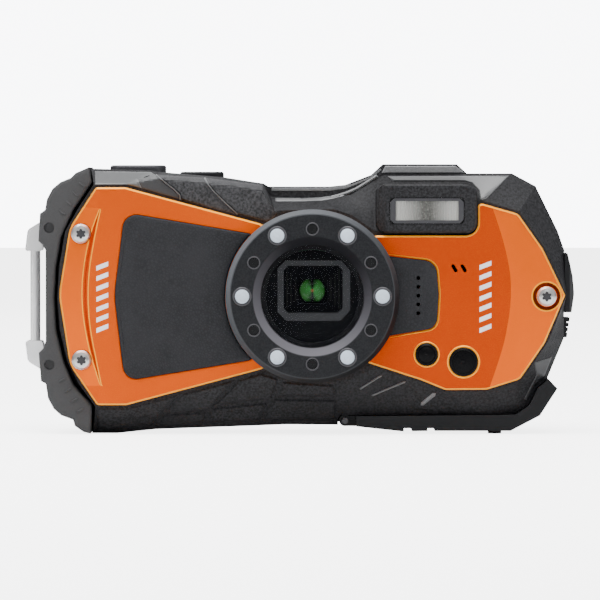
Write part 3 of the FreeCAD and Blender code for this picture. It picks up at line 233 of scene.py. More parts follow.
def closed_sheet(name, region, front, back, sharp_angle=SHEET_SHARP_ANGLE):
    """Closed solid over a region: its front surface at y = front(x, z), its back at y = back(x, z)."""
    places, triangles = region
    used = sorted({i for face in triangles for i in face})
    index = {old: new for new, old in enumerate(used)}
    count = len(used)
    vertices = [place(places[i][0], front(*places[i]), places[i][1]) for i in used]
    vertices += [place(places[i][0], back(*places[i]), places[i][1]) for i in used]
    faces = []
    border = {}
    for face in triangles:
        a, b, c = [index[i] for i in face]
        faces.append((a, b, c))
        faces.append((c + count, b + count, a + count))
        for p, q in ((a, b), (b, c), (c, a)):
            if (q, p) in border:
                del border[(q, p)]
            else:
                border[(p, q)] = True
    for p, q in border:
        faces.append((q, p, p + count, q + count))
    mesh = bpy.data.meshes.new(name)
    mesh.from_pydata(vertices, [], faces)
    return finished(name, mesh, sharp_angle)


def finished(name, mesh, sharp_angle):
    """Object of a mesh whose normals point out, smooth-shaded up to an angle."""
    work = bmesh.new()
    work.from_mesh(mesh)
    bmesh.ops.recalc_face_normals(work, faces=work.faces)
    limit = math.radians(sharp_angle)
    for face in work.faces:
        face.smooth = True
    for edge in work.edges:
        edge.smooth = len(edge.link_faces) == 2 and edge.calc_face_angle(0.0) < limit
    work.to_mesh(mesh)
    work.free()
    return in_scene(name, mesh)


def merged(name, pieces):
    """One object made of several."""
    work = bmesh.new()
    for piece in pieces:
        work.from_mesh(piece.data)
        bpy.data.objects.remove(piece)
    mesh = bpy.data.meshes.new(name)
    work.to_mesh(mesh)
    work.free()
    return in_scene(name, mesh)


def cast_front(*nodes):
    """Function giving the depth, in millimetres, of the front surface of some nodes at (x, z)."""
    vertices = []
    faces = []
    for node in nodes:
        first = len(vertices)
        mesh = NODES[node].data
        vertices += [v.co.copy() for v in mesh.vertices]
        faces += [tuple(first + i for i in p.vertices) for p in mesh.polygons]
    tree = BVHTree.FromPolygons(vertices, faces)

    def depth(x, z):
        hit = tree.ray_cast(place(x, CASTING_START, z), Vector((0, 1, 0)))[0]
        return hit.y / MM if hit is not None else None
    return depth


# ---- materials

NOISE_LOW = 0.3
NOISE_HIGH = 0.7
TURN_RANGE = 0.6


class Nodes:
    """Builder for a node tree. Its values are numbers, colours and other nodes' outputs."""

    def __init__(self, tree):
        self.tree = tree

    def wire(self, socket, value):
        """Links an output to a socket, or sets the socket to a number or a colour."""
        if isinstance(value, bpy.types.NodeSocket):
            self.tree.links.new(value, socket)
        elif socket.type == "RGBA":
            socket.default_value = (*value, 1.0)
        else:
            socket.default_value = value

    def node(self, kind, inputs, **settings):
        """New node with its settings, and with its inputs by name or number."""
        made = self.tree.nodes.new("ShaderNode" + kind)
        for name, value in settings.items():
            setattr(made, name, value)
        for name, value in inputs.items():
            self.wire(made.inputs[name], value)
        return made

    def axes(self, vector):
        """The separate X, Y and Z of a vector."""
        return self.node("SeparateXYZ", {0: vector}).outputs

    def maths(self, operation, *values):
        return self.node("Math", dict(enumerate(values)), operation=operation).outputs[0]

    def spread(self, value, low, high, out_low=0.0, out_high=1.0):
        """Maps low..high of a value to out_low..out_high, clamped."""
        inputs = {"Value": value, "From Min": low, "From Max": high, "To Min": out_low, "To Max": out_high}
        return self.node("MapRange", inputs).outputs["Result"]

    def blend(self, amount, first, second):
        """Colour between two as amount goes from 0 to 1."""
        return self.node("Mix", {0: amount, 6: first, 7: second}, data_type="RGBA").outputs[2]

    def fade(self, value, low, high, first, second):
        """Colour that goes from first to second as a value goes from low to high."""
        return self.blend(self.spread(value, low, high), first, second)

    def camera_ray(self):
        """1 where the camera looks straight at something, 0 for light that bounces."""
        return self.node("LightPath", {}).outputs["Is Camera Ray"]


class Surface(Nodes):
    """A material being built, with its shader and the coordinates on the piece."""

    def __init__(self, name):
        self.material = bpy.data.materials.new(name)
        self.material.use_nodes = True
        super().__init__(self.material.node_tree)
        self.shader = self.tree.nodes["Principled BSDF"]
        self.where = self.node("TexCoord", {}).outputs["Object"]

    def noise(self, size_mm, detail=4.0, roughness=0.55, stretch=None):
        """Noise whose features are about size_mm across, before any stretch."""
        where = self.where
        if stretch is not None:
            where = self.node("Mapping", {"Vector": where, "Scale": stretch}).outputs["Vector"]
        inputs = {"Vector": where, "Scale": 1.0 / (size_mm * MM), "Detail": detail, "Roughness": roughness}
        return self.node("TexNoise", inputs).outputs["Fac"]

    def from_noise(self, value, out_low, out_high):
        """Maps the range that a noise mostly keeps to onto out_low..out_high."""
        return self.spread(value, NOISE_LOW, NOISE_HIGH, out_low, out_high)

    def cell_borders(self, size_mm):
        """Distance to the borders between cells about size_mm across."""
        inputs = {"Vector": self.where, "Scale": 1.0 / (size_mm * MM)}
        return self.node("TexVoronoi", inputs, feature="DISTANCE_TO_EDGE").outputs["Distance"]

    def radial(self, centre_z):
        """Distance in millimetres from the Y axis through (0, centre_z)."""
        at = self.axes(self.where)
        up = self.maths("SUBTRACT", at["Z"], (centre_z - SEAT) * MM)
        squared = self.maths("ADD", self.maths("MULTIPLY", at["X"], at["X"]), self.maths("MULTIPLY", up, up))
        return self.maths("MULTIPLY", self.maths("SQRT", squared), 1.0 / MM)

    def across_from(self, centre_x):
        """Sideways distance in millimetres from centre_x."""
        x = self.maths("SUBTRACT", self.axes(self.where)["X"], centre_x * MM)
        return self.maths("MULTIPLY", self.maths("ABSOLUTE", x), 1.0 / MM)

    def sideways(self, across, up):
        """How far the surface turns towards a direction in the plane of the camera's front, 0 to 1; used to
        paint light and shade by the way a surface faces.
        """
        normal = self.axes(self.node("NewGeometry", {}).outputs["Normal"])
        across_part = self.maths("MULTIPLY", normal["X"], across)
        up_part = self.maths("MULTIPLY", normal["Z"], up)
        return self.spread(self.maths("ADD", across_part, up_part), -TURN_RANGE, TURN_RANGE)

    def set(self, name, value):
        self.wire(self.shader.inputs[name], value)

    def paint(self, colour, roughness, shine=0.5):
        """Gives the shader a colour, a roughness and a strength of reflection."""
        self.set("Base Color", colour)
        self.set("Roughness", roughness)
        self.set("Specular IOR Level", shine)

    def bump(self, height, depth_mm):
        """Makes the surface rise and fall with a height."""
        inputs = {"Strength": 1.0, "Distance": depth_mm * MM, "Height": height}
        self.set("Normal", self.node("Bump", inputs).outputs["Normal"])


def shade(colour, factor):
    """Colour made darker or lighter."""
    return tuple(part * factor for part in colour)


def plastic(name, colour, rough=0.5, grain_mm=0.5, depth_mm=0.05, speckle=0.5, shine=0.3):
    """Moulded plastic with a grain, speckled colour and slow variation."""
    it = Surface(name)
    fine = it.noise(grain_mm, 5.0, 0.6)
    slow = it.noise(14.0, 2.0)
    speckled = it.fade(fine, 0.38, 0.62, shade(colour, 1.0 - speckle), shade(colour, 1.0 + speckle))
    shaded = it.blend(it.from_noise(slow, 0.0, 0.35), speckled, shade(colour, 1.25))
    it.paint(shaded, it.from_noise(fine, rough - 0.08, rough + 0.1), shine)
    it.bump(fine, depth_mm)
    return it.material


def leather(name, colour):
    """Soft-touch rubber with a fine leather grain, darker in the creases between its pebbles as painted
    shade.
    """
    it = Surface(name)
    fine = it.noise(0.25)
    slow = it.noise(9.0, 2.0)
    pebble = it.spread(it.cell_borders(0.62), 0.0, 0.22)
    # Painted shade in the creases between the pebbles.
    crease_painted_shade = it.blend(pebble, shade(colour, 0.62), colour)
    shaded = it.blend(it.from_noise(slow, 0.0, 0.5), crease_painted_shade, shade(colour, 1.25))
    it.paint(shaded, it.from_noise(fine, 0.5, 0.66), 0.15)
    it.bump(it.maths("ADD", pebble, it.maths("MULTIPLY", fine, 0.6)), 0.035)
    return it.material


def painted_metal(name, colour, flake, rough=0.34, metallic=0.55):
    """Anodised or painted metal: fine bright flakes under a satin skin."""
    it = Surface(name)
    flakes = it.noise(0.16, 2.0, 0.7)
    slow = it.noise(20.0, 2.0)
    sparkle = it.blend(it.spread(flakes, 0.5, 0.75, 0.0, 0.4), colour, flake)
    shaded = it.blend(it.from_noise(slow, 0.0, 0.25), sparkle, shade(colour, 0.8))
    it.paint(shaded, it.from_noise(flakes, rough - 0.06, rough + 0.12), 0.08)
    it.set("Metallic", metallic)
    it.bump(flakes, 0.006)
    return it.material


def bare_metal(name, colour, rough=0.2, streak=(1.0, 1.0, 12.0), marks=0.35, metallic=1.0):
    """Bare metal with faint brushed streaks and small marks."""
    it = Surface(name)
    streaks = it.noise(0.5, 3.0, 0.6, streak)
    smudge = it.noise(2.2)
    marked = it.blend(it.spread(smudge, 0.45, 0.75, 0.0, marks), colour, shade(colour, 0.45))
    bright = tuple(min(1.0, part) for part in shade(colour, 1.15))
    brushed = it.blend(it.from_noise(streaks, 0.0, 0.25), marked, bright)
    it.paint(brushed, it.from_noise(smudge, rough * 0.7, rough * 1.5))
    it.set("Metallic", metallic)
    it.bump(streaks, 0.004)
    return it.material


def gloss(name, colour, rough, coat, dust):
    """Polished coated glass seen as a solid."""
    it = Surface(name)
    haze = it.noise(3.0, 5.0)
    specks = it.noise(0.3, 2.0)
    hazy = it.blend(it.spread(haze, 0.5, 0.8, 0.0, dust), colour, (0.35, 0.36, 0.38))
    dusty = it.blend(it.spread(specks, 0.68, 0.8, 0.0, dust), hazy, (0.5, 0.5, 0.5))
    it.paint(dusty, it.spread(haze, 0.3, 0.8, rough, rough + 0.08), 0.3)
    it.set("Coat Weight", coat)
    it.bump(haze, 0.002)
    return it.material


def clear(name, tint, opacity):
    """Thin clear pane: mostly see-through, with a polished surface."""
    it = Surface(name)
    haze = it.noise(4.0)
    it.paint(it.blend(haze, tint, shade(tint, 0.9)), it.from_noise(haze, 0.03, 0.07), 0.15)
    it.set("Alpha", it.spread(haze, 0.4, 0.8, opacity, opacity + 0.04))
    it.bump(haze, 0.001)
    return it.material


def ring_finish(name):
    """Satin ring: charcoal face, turned edge with a painted highlight where it faces up and left, faintly
    violet inner cone with painted shade at its top and painted light lower down.
    """
    it = Surface(name)
    fine = it.noise(0.3)
    reach = it.radial(LENS_Z)
    face = it.fade(fine, 0.35, 0.65, (0.008, 0.0085, 0.010), (0.016, 0.017, 0.019))
    # Painted light: the edge and the cone are lighter where they face up, darker where they face down.
    edge = it.blend(it.sideways(-0.6, 0.8), (0.004, 0.004, 0.0045), (0.085, 0.09, 0.098))
    cone = it.blend(it.sideways(0.25, 0.97), (0.006, 0.006, 0.008), (0.11, 0.107, 0.12))
    lipped = it.fade(reach, 11.7, 11.8, (0.003, 0.003, 0.004), cone)
    faced = it.fade(reach, 13.4, 13.6, lipped, face)
    it.paint(it.fade(reach, 18.4, 18.6, faced, edge), it.from_noise(fine, 0.36, 0.48), 0.15)
    it.bump(fine, 0.012)
    return it.material


def lens_with_painted_reflection(name, centre_z):
    """Front element with its coating's reflection painted on: two green lobes beside a dark upright bow-tie,
    with a warm painted glint in the middle.
    """
    it = Surface(name)
    reach = it.radial(centre_z)
    swirl = it.noise(1.2, 2.0)
    lean = it.maths("DIVIDE", it.across_from(0.0), it.maths("ADD", reach, 0.05))
    green = it.fade(reach, 0.6, 2.6, (0.025, 0.17, 0.035), (0.010, 0.085, 0.006))
    patch = it.fade(swirl, 0.35, 0.65, green, (0.02, 0.11, 0.02))
    tie = it.fade(lean, 0.08, 0.62, (0.002, 0.004, 0.002), patch)
    painted_glint = it.fade(reach, 0.12, 0.5, (0.20, 0.07, 0.03), tie)
    painted_lens_reflection = it.fade(reach, 2.55, 3.0, painted_glint, (0.004, 0.008, 0.004))
    it.paint(painted_lens_reflection, it.from_noise(swirl, 0.2, 0.3), 0.2)
    # The painted reflection also glows a little, as painted light.
    it.set("Emission Color", painted_lens_reflection)
    it.set("Emission Strength", 0.25)
    return it.material


def flash_ribs_finish(name, centre_x):
    """Prismatic flash pane with painted light and shade: pale towards both ends, dark in the middle."""
    it = Surface(name)
    away = it.across_from(centre_x)
    fine = it.noise(0.5, 3.0)
    # Painted light and shade across the pane, dark in the middle and pale towards the ends.
    core = it.fade(away, 0.8, 5.5, (0.06, 0.06, 0.055), (0.36, 0.36, 0.34))
    ends = it.fade(away, 6.6, 7.6, core, (0.10, 0.10, 0.09))
    grained = it.blend(it.spread(fine, 0.35, 0.65, 0.0, 0.3), ends, (0.22, 0.22, 0.20))
    it.paint(grained, it.from_noise(fine, 0.15, 0.3))
    it.bump(fine, 0.004)
    return it.material


def dress(piece, material):
    """Gives every face of a piece the one material."""
    piece.data.materials.clear()
    piece.data.materials.append(material)
    for polygon in piece.data.polygons:
        polygon.material_index = 0


def soften(piece, width_mm):
    """Rounds a piece's edges a little, as moulding and machining do."""
    rounding = piece.modifiers.new("edges", "BEVEL")
    rounding.width = width_mm * MM
    rounding.segments = BEVEL_SEGMENTS
    rounding.limit_method = "ANGLE"
    rounding.angle_limit = math.radians(BEVEL_ANGLE)
    rounding.harden_normals = True
    rounding.use_clamp_overlap = True


# ---- face plate

GROOVE_OUTER = [(-48.2, 51.5), (-50.1, 46.5), (-50.9, 43.4), (-51.8, 38.7), (-52.25, 33.8), (-52.2, 29.6),
                (-51.75, 25.4), (-51.0, 21.3), (-50.2, 17.9), (-48.1, 11.2)]
GROOVE_INNER = [(-48.2, 51.5), (-49.35, 46.4), (-50.1, 42.3), (-50.8, 38.1), (-51.1, 33.8), (-51.1, 29.6),
                (-50.8, 25.4), (-50.15, 21.3), (-49.35, 17.5), (-48.1, 11.2)]
GROOVE_DEPTH = 0.4
GROOVE_FULL_HALF = 0.45
GROOVE_EDGE = 0.28
END_SLOPE = 0.19
END_CORNERS = [(-53.6, 51.9), (-53.6, 11.4)]
RIGHT_CREASE = [(40.4, 53.2), (42.8, 46.2), (44.0, 41.8), (44.9, 37.5), (45.2, 33.1), (45.0, 28.8),
                (44.3, 24.4), (43.4, 20.1), (42.0, 15.7), (40.0, 9.9)]
FACET_BEND = 5.0
FACET_START_SLOPE = 0.03
FACET_CURVE = 0.008
FACET_END_SLOPE = 0.08
RIM_WIDTH = 0.4
RIM_DEPTH = 0.42
WINDOW_RIM_DEPTH = 0.34
WINDOW_RIM_START = 14.0
WINDOW_RIM_FADE = 8.0
WINDOW_CUT_START = 20.0
LIP = 0.14
LIPPED_HOLES = [((34.4, 16.6, 3.28), 0.5), ((26.0, 18.3, 2.58), 0.42)]
RIGHT_SCREW = (53.3, 31.5)
SCREW_HOLE_R = 2.4
SCREW_DISH_R = 3.15
SCREW_DISH_RIM_R = 3.5
SCREW_DISH_DEPTH = 0.38
BED_DEPTHS = (-11.4, -11.6)
FLAT_FACING = 0.97
PLATE_LINE_STEP = 0.6
PLATE_SPACING = 1.1
PLATE_SHARP_ANGLE = 12.0
# Copies of the plate's orange: plain, painted shade, painted light, a painted highlight and deeper painted
# shade in the screw dish.
PLATE_FINISHES = ("orange", "orange_painted_shade", "orange_lit", "orange_painted_highlight", "orange_shade")
PLAIN, IN_PAINTED_SHADE, LIT, EDGE_HIGHLIGHTED, SHADED = range(5)


def curve_x(line, z):
    """x at height z on a line that runs down the page."""
    if z >= line[0][1]:
        return line[0][0]
    for (ax, az), (bx, bz) in zip(line, line[1:]):
        if az >= z >= bz:
            return ax + (bx - ax) * (az - z) / (az - bz)
    return line[-1][0]


def resampled(line, step):
    """Line with points about a step apart."""
    points = [line[0]]
    for (ax, az), (bx, bz) in zip(line, line[1:]):
        count = max(1, round(math.hypot(bx - ax, bz - az) / step))
        points += [(ax + (bx - ax) * i / count, az + (bz - az) * i / count) for i in range(1, count + 1)]
    return points


def eased(line):
    """Line with its corners rounded by one pass of corner cutting."""
    points = [line[0]]
    for (ax, az), (bx, bz) in zip(line, line[1:]):
        for near in (0.75, 0.25):
            points.append((ax * near + bx * (1 - near), az * near + bz * (1 - near)))
    return points + [line[-1]]


def face_plate():
    """Front of the orange plate: groove, lit facet, rims, screw dish and the floors of its pockets, with
    copies of the orange as painted light, painted shade and painted highlights.
    """
    loops = flat_loops("face_plate", PLATE_FRONT, -1)
    outer, window = loops[0], loops[1]
    outer_line = eased(eased(GROOVE_OUTER))
    inner_line = eased(eased(GROOVE_INNER))
    middle_line = [((curve_x(outer_line, z) + curve_x(inner_line, z)) / 2, z) for x, z in outer_line]
    crease = eased(eased(RIGHT_CREASE))

    def depth(x, z):
        y = PLATE_FRONT
        left = curve_x(outer_line, z)
        right = curve_x(inner_line, z)
        y += END_SLOPE * max(0.0, left - x)
        if left < x < right:
            half = (right - left) / 2
            y += GROOVE_DEPTH * min(1.0, half / GROOVE_FULL_HALF) * (1 - abs(x - left - half) / half)
        beyond = x - curve_x(crease, z)
        if beyond > 0:
            bent = min(beyond, FACET_BEND)
            y += FACET_START_SLOPE * beyond + FACET_CURVE * bent * bent + FACET_END_SLOPE * (beyond - bent)
        y += RIM_DEPTH * max(0.0, 1 - loop_distance(x, z, outer) / RIM_WIDTH)
        if x > WINDOW_RIM_START:
            rim = max(0.0, 1 - loop_distance(x, z, window) / RIM_WIDTH)
            y += WINDOW_RIM_DEPTH * smooth((x - WINDOW_RIM_START) / WINDOW_RIM_FADE) * rim
        for (cx, cz, radius), width in LIPPED_HOLES:
            reach = math.hypot(x - cx, z - cz) - radius
            if 0.0 < reach < width:
                y -= LIP * math.sin(math.pi * reach / width)
        screw = math.hypot(x - RIGHT_SCREW[0], z - RIGHT_SCREW[1])
        return y + SCREW_DISH_DEPTH * clamp((SCREW_DISH_R - screw) / (SCREW_DISH_R - SCREW_HOLE_R))

    lines = [resampled(line, PLATE_LINE_STEP) for line in (outer_line, middle_line, inner_line, crease)]
    lines.append([(x - GROOVE_EDGE, z) for x, z in outer_line[1:-1]])
    lines.append([(x + GROOVE_EDGE, z) for x, z in inner_line[1:-1]])
    lines += [[corner, tip] for corner, tip in zip(END_CORNERS, (GROOVE_OUTER[0], GROOVE_OUTER[-1]))]
    for loop, inset in ((outer, RIM_WIDTH), (window, -RIM_WIDTH)):
        lines.append(looped(offset_loop(loop, inset)))
    for (cx, cz, radius), width in LIPPED_HOLES:
        lines += [looped(circle(cx, cz, radius + width * part)) for part in (0.5, 1.0)]
    lines += [looped(circle(*RIGHT_SCREW, radius)) for radius in (SCREW_DISH_R, SCREW_DISH_RIM_R)]
    region = triangulated(outer, loops[1:], lines, PLATE_SPACING)
    plate = closed_sheet("face_plate_front", region, depth, steady(SHELL_FRONT), PLATE_SHARP_ANGLE)

    def part(x, z, facing):
        """Which finish a spot of the plate shows: plain orange, or a copy as painted shade, painted light or
        a painted highlight.
        """
        screw = math.hypot(x - RIGHT_SCREW[0], z - RIGHT_SCREW[1])
        if screw < SCREW_DISH_R:
            return SHADED
        left, right = curve_x(outer_line, z), curve_x(inner_line, z)
        grooved = outer_line[-1][1] < z < outer_line[0][1]
        in_groove = grooved and left < x < right
        lips = any(math.hypot(x - cx, z - cz) < radius + width for (cx, cz, radius), width in LIPPED_HOLES)
        rim = facing < FLAT_FACING and loop_distance(x, z, outer) < RIM_WIDTH
        window_rim = x > WINDOW_CUT_START and loop_distance(x, z, window) < RIM_WIDTH
        groove_rim = grooved and not in_groove and left - GROOVE_EDGE < x < right + GROOVE_EDGE
        # Painted highlight on the screw dish rim, the hole lips, the plate's rim, the window rim and the
        # groove's edges.
        if screw < SCREW_DISH_RIM_R or lips or rim or window_rim or groove_rim:
            return EDGE_HIGHLIGHTED
        # Painted shade in the groove.
        if in_groove:
            return IN_PAINTED_SHADE
        # Painted light on the facets that bend back.
        if x > curve_x(crease, z) or (grooved and x < left):
            return LIT
        # Painted shade over the right half of the plate.
        return IN_PAINTED_SHADE if x > 0.0 else PLAIN

    for polygon in plate.data.polygons:
        x, z = polygon.center.x / MM, polygon.center.z / MM + SEAT
        polygon.material_index = part(x, z, abs(polygon.normal.y))
    whole = merged("face_plate_skin", [plate] + plate_beds())
    for name in PLATE_FINISHES:
        whole.data.materials.append(FINISHES[name])
    return whole


def plate_beds():
    """Floors of the plate's pockets, under the grip pad, the speaker panel and the screw heads."""
    beds = []
    for y in BED_DEPTHS:
        loops = flat_loops("face_plate", y, -1)
        outers = [loop for loop in loops if loop_area(loop) > 0]
        for outer in outers:
            holes = [loop for loop in loops if loop_area(loop) < 0 and inside(loop[0], outer)]
            region = triangulated(outer, holes, [], COARSE)
            beds.append(closed_sheet("plate_bed", region, steady(y), steady(SHELL_FRONT)))
    return beds


# ---- grip pad

PAD_FRONT = -12.8
PAD_MIDDLE_Z = 31.4
PAD_CROWN = 0.12
PAD_CROWN_REACH = 6.0
PAD_EDGE_DEPTH = 0.38
PAD_EDGE_WIDTH = 0.9
PAD_INSETS = (0.12, 0.35, PAD_EDGE_WIDTH)
PAD_SPACING = 0.75
PAD_SHARP_ANGLE = 50.0
RIDGE_X = -44.8
RIDGE_BOW = 0.0065
RIDGE_HEIGHT = 0.42
RIDGE_RISE = 2.6
RIDGE_FALL_START = 3.3
RIDGE_FALL = 2.2
RIDGE_HALF_LENGTH = 9.0
RIDGE_END_FADE = 7.0


def grip_pad():
    """Grip pad with rounded edges, a slight crown and a bowed upright ridge near its left end."""
    outer = flat_loops("grip_pad", PAD_FRONT, -1)[0]

    def depth(x, z):
        edge = loop_distance(x, z, outer)
        up = z - PAD_MIDDLE_Z
        along = x - RIDGE_X - RIDGE_BOW * up ** 2
        ends = 1 - smooth((abs(up) - RIDGE_HALF_LENGTH) / RIDGE_END_FADE)
        hump = smooth(along / RIDGE_RISE) * (1 - smooth((along - RIDGE_FALL_START) / RIDGE_FALL))
        ridge = RIDGE_HEIGHT * ends * hump
        rounded = PAD_EDGE_DEPTH * (1 - math.sqrt(clamp(1 - (1 - clamp(edge / PAD_EDGE_WIDTH)) ** 2)))
        return PAD_FRONT - PAD_CROWN * smooth(edge / PAD_CROWN_REACH) - ridge + rounded

    rings = [looped(offset_loop(outer, inset)) for inset in PAD_INSETS]
    region = triangulated(outer, [], rings, PAD_SPACING)
    return closed_sheet("grip_pad_skin", region, depth, steady(SHELL_FRONT), PAD_SHARP_ANGLE)


# ---- raised work on the shells

RELIEF_BASE = 0.1
RELIEF_SINK = 0.25
RELIEF_SHARP_ANGLE = 24.0
RELIEF_BORDER_SHARE = 0.75


def relief(outline, surface, height, chamfer, spacing):
    """Raised panel over an outline that follows a surface, with a chamfered border."""
    outline = resampled(looped(anticlockwise(outline)), spacing * RELIEF_BORDER_SHARE)[:-1]
    known = {}

    def base(x, z):
        key = (round(x, 4), round(z, 4))
        if key not in known:
            known[key] = surface(x, z)
        return known[key]

    def front(x, z):
        return base(x, z) - height(x, z) * clamp(loop_distance(x, z, outline) / chamfer) - RELIEF_BASE

    def back(x, z):
        return base(x, z) + RELIEF_SINK

    places, triangles = triangulated(outline, [], [looped(offset_loop(outline, chamfer))], spacing)
    triangles = [face for face in triangles if all(base(*places[i]) is not None for i in face)]
    return closed_sheet("relief", (places, triangles), front, back, RELIEF_SHARP_ANGLE)


def stretch_out(a, b, width):
    """Slim six-sided outline from a to b."""
    ux, uz = heading(a, b)[1:]
    half = width / 2
    return [(a[0] - uz * half, a[1] + ux * half), (a[0] - ux * half, a[1] - uz * half),
            (a[0] + uz * half, a[1] - ux * half), (b[0] + uz * half, b[1] - ux * half),
            (b[0] + ux * half, b[1] + uz * half), (b[0] - uz * half, b[1] + ux * half)]


def band(line, width):
    """Outline of a strip along a line."""
    left = []
    right = []
    for i, (x, z) in enumerate(line):
        ux, uz = heading(line[max(0, i - 1)], line[min(len(line) - 1, i + 1)])[1:]
        left.append((x - uz * width / 2, z + ux * width / 2))
        right.append((x + uz * width / 2, z - ux * width / 2))
    return left + right[::-1]


# Each scale: the points of its left edge, then the rest of its outline.
SCALES = [
    ([(-35.7, 59.2), (-30.2, 54.9), (-30.0, 53.5)],
     [(-17.0, 50.0), (-21.7, 54.6), (-23.4, 56.6), (-24.7, 58.5)]),
    ([(-24.6, 58.5), (-23.4, 56.6), (-21.7, 54.6), (-17.0, 50.2)],
     [(-9.6, 48.3), (-7.9, 50.6), (-9.1, 52.4), (-10.6, 55.8), (-11.2, 56.9)]),
]
SCALE_LOW = 0.12
SCALE_RISE = 0.5
SCALE_RUN = 6.0
SCALE_CHAMFER = 0.35
SCALE_SPACING = 0.5
SCALE_RIM_WIDTH = 0.42
# Strips along the scales' left edges, which get a painted highlight.
SCALE_RIMS = [band(eased(edge), SCALE_RIM_WIDTH) for edge, rest in SCALES]
# Smooth satin panels on the top slopes, paler than the shell as painted light.
SATIN_PAINTED_LIGHT_PANELS = [
    [(-49.6, 60.0), (-36.9, 59.8), (-35.9, 59.2), (-39.8, 58.3), (-38.8, 56.1), (-42.4, 57.0), (-49.4, 57.0)],
    [(17.2, 58.8), (45.0, 59.0), (39.5, 53.6), (38.3, 53.4), (38.1, 55.6), (36.6, 57.3), (34.8, 57.8),
     (18.6, 57.8)],
]
# Panels a little paler than the shell, as dimmer painted light.
DIM_PANELS = [
    [(-39.8, 58.3), (-35.9, 59.2), (-30.4, 54.8), (-30.2, 53.6), (-38.8, 56.1)],
    [(50.6, 16.4), (54.9, 17.6), (53.2, 13.2), (50.9, 11.4), (49.0, 7.6), (48.4, 7.9), (51.2, 13.4)],
]
SOLE_PANELS = [
    [(-49.2, 6.0), (-42.5, 6.0), (-30.7, 8.9), (-33.6, 5.6), (-37.4, 1.6), (-49.2, 0.8)],
    [(-29.6, 9.2), (-17.6, 12.4), (-20.9, 8.7), (-23.6, 5.5), (-33.1, 4.9), (-32.4, 6.2)],
    [(-33.7, 4.3), (-24.3, 4.9), (-25.1, 2.1), (-36.3, 1.6)],
    [(-16.7, 12.4), (-11.7, 13.9), (-7.8, 12.6), (-9.3, 8.1), (-22.4, 6.5), (-19.9, 8.9)],
    [(-22.9, 5.7), (-10.0, 7.1), (-11.2, 5.0), (-12.3, 2.7), (-24.1, 2.4)],
    [(-6.8, 12.0), (4.5, 11.2), (6.0, 8.6), (-8.1, 8.6)],
    [(-8.6, 7.9), (5.3, 7.7), (5.3, 3.2), (-11.2, 2.9), (-10.1, 5.2)],
]
# These ridges, the brow strips and the crown panel get a painted highlight.
THIN_RIDGES = [stretch_out((10.97, 10.4), (15.7, 13.4), 0.45), stretch_out((13.75, 8.8), (21.1, 12.0), 0.45)]
WIDE_RIDGE = stretch_out((25.1, 6.8), (27.8, 9.1), 0.9)
BROW = [(-8.4, 53.5), (1.0, 53.5), (5.5, 54.2), (9.5, 55.6), (12.3, 57.3), (14.9, 59.0)]
BROW_WIDTH = 0.75
BROW_REAR = [(-9.3, 55.9), (3.9, 55.9), (7.6, 56.4), (13.3, 58.7), (15.6, 60.6)]
BROW_REAR_WIDTH = 0.8
CROWN_PANEL = [(16.7, 61.2), (32.8, 61.2), (34.9, 59.6), (15.9, 59.6)]
SHELL_MARK = stretch_out((-38.9, 58.1), (-37.2, 59.1), 0.4)
# Each row: finish, shell it lies on, height, chamfer, distance between its points, outlines.
RELIEFS = [
    # The satin rows are smoother and paler than the shell; the paleness is painted light.
    ("satin", "front", 0.14, 0.2, 0.35, SATIN_PAINTED_LIGHT_PANELS),
    # The dim rows are a little paler than the shell as painted light.
    ("dim_painted_light", "front", 0.14, 0.2, 0.35, DIM_PANELS),
    ("shell", "front", 0.45, 0.45, 1.0, SOLE_PANELS),
    # These rows are paler strips, painted highlights on lit edges, ridges and the crown.
    ("shell_highlight", "front", 0.72, 0.2, 0.6, SCALE_RIMS),
    ("shell_highlight", "both", 0.3, 0.3, 0.4, [band(eased(BROW), BROW_WIDTH)]),
    ("shell_highlight", "rear", 0.1, 0.3, 0.6, [band(BROW_REAR, BROW_REAR_WIDTH)]),
    ("shell_highlight", "rear", 0.14, 0.2, 0.7, [CROWN_PANEL]),
    ("shell_highlight", "front", 0.35, 0.18, 0.6, THIN_RIDGES),
    ("shell_highlight", "front", 0.35, 0.36, 0.6, [WIDE_RIDGE]),
    ("gloss", "front", 0.1, 0.1, 0.6, [SHELL_MARK]),
]


def scale_height(edge):
    """Height map of a scale: tallest at its left edge, sloping away to the right."""
    def height(x, z):
        beyond = x - curve_x(edge, z)
        return SCALE_LOW + SCALE_RISE * clamp(1 - beyond / SCALE_RUN)
    return height


def shell_relief():
    """Raised panels, strips and ridges of the two shells, as one piece for each finish."""
    shells = {
        "front": cast_front("front_shell"),
        "rear": cast_front("rear_shell"),
        "both": cast_front("front_shell", "rear_shell"),
    }
    groups = {"grain": []}
    for edge, rest in SCALES:
        scale = relief(edge + rest, shells["front"], scale_height(edge), SCALE_CHAMFER, SCALE_SPACING)
        groups["grain"].append(scale)
    for finish, shell, height, chamfer, spacing, outlines in RELIEFS:
        raised = [relief(outline, shells[shell], steady(height), chamfer, spacing) for outline in outlines]
        groups.setdefault(finish, []).extend(raised)
    return [(merged(f"relief_{finish}", pieces), finish) for finish, pieces in groups.items()]


# ---- bumper

BUMPER_FRONT = -9.4
BUMPER_BACK = 11.4
BUMPER_SWELL = 0.8
BUMPER_ROUND = 0.7
BUMPER_INSETS = (0.12, 0.35, BUMPER_ROUND)
BUMPER_SPACING = 1.2
BUMPER_SHARP_ANGLE = 45.0
RIB_PATHS = [((-57.0, 50.6), (-52.4, 56.9)), ((-57.0, 12.4), (-53.0, 5.4))]
RIBS = 4
RIB_HALF_LENGTH = 0.7
RIB_WIDTH = 0.55
RIB_HEIGHT = 0.16
RIB_SPACING = 0.6


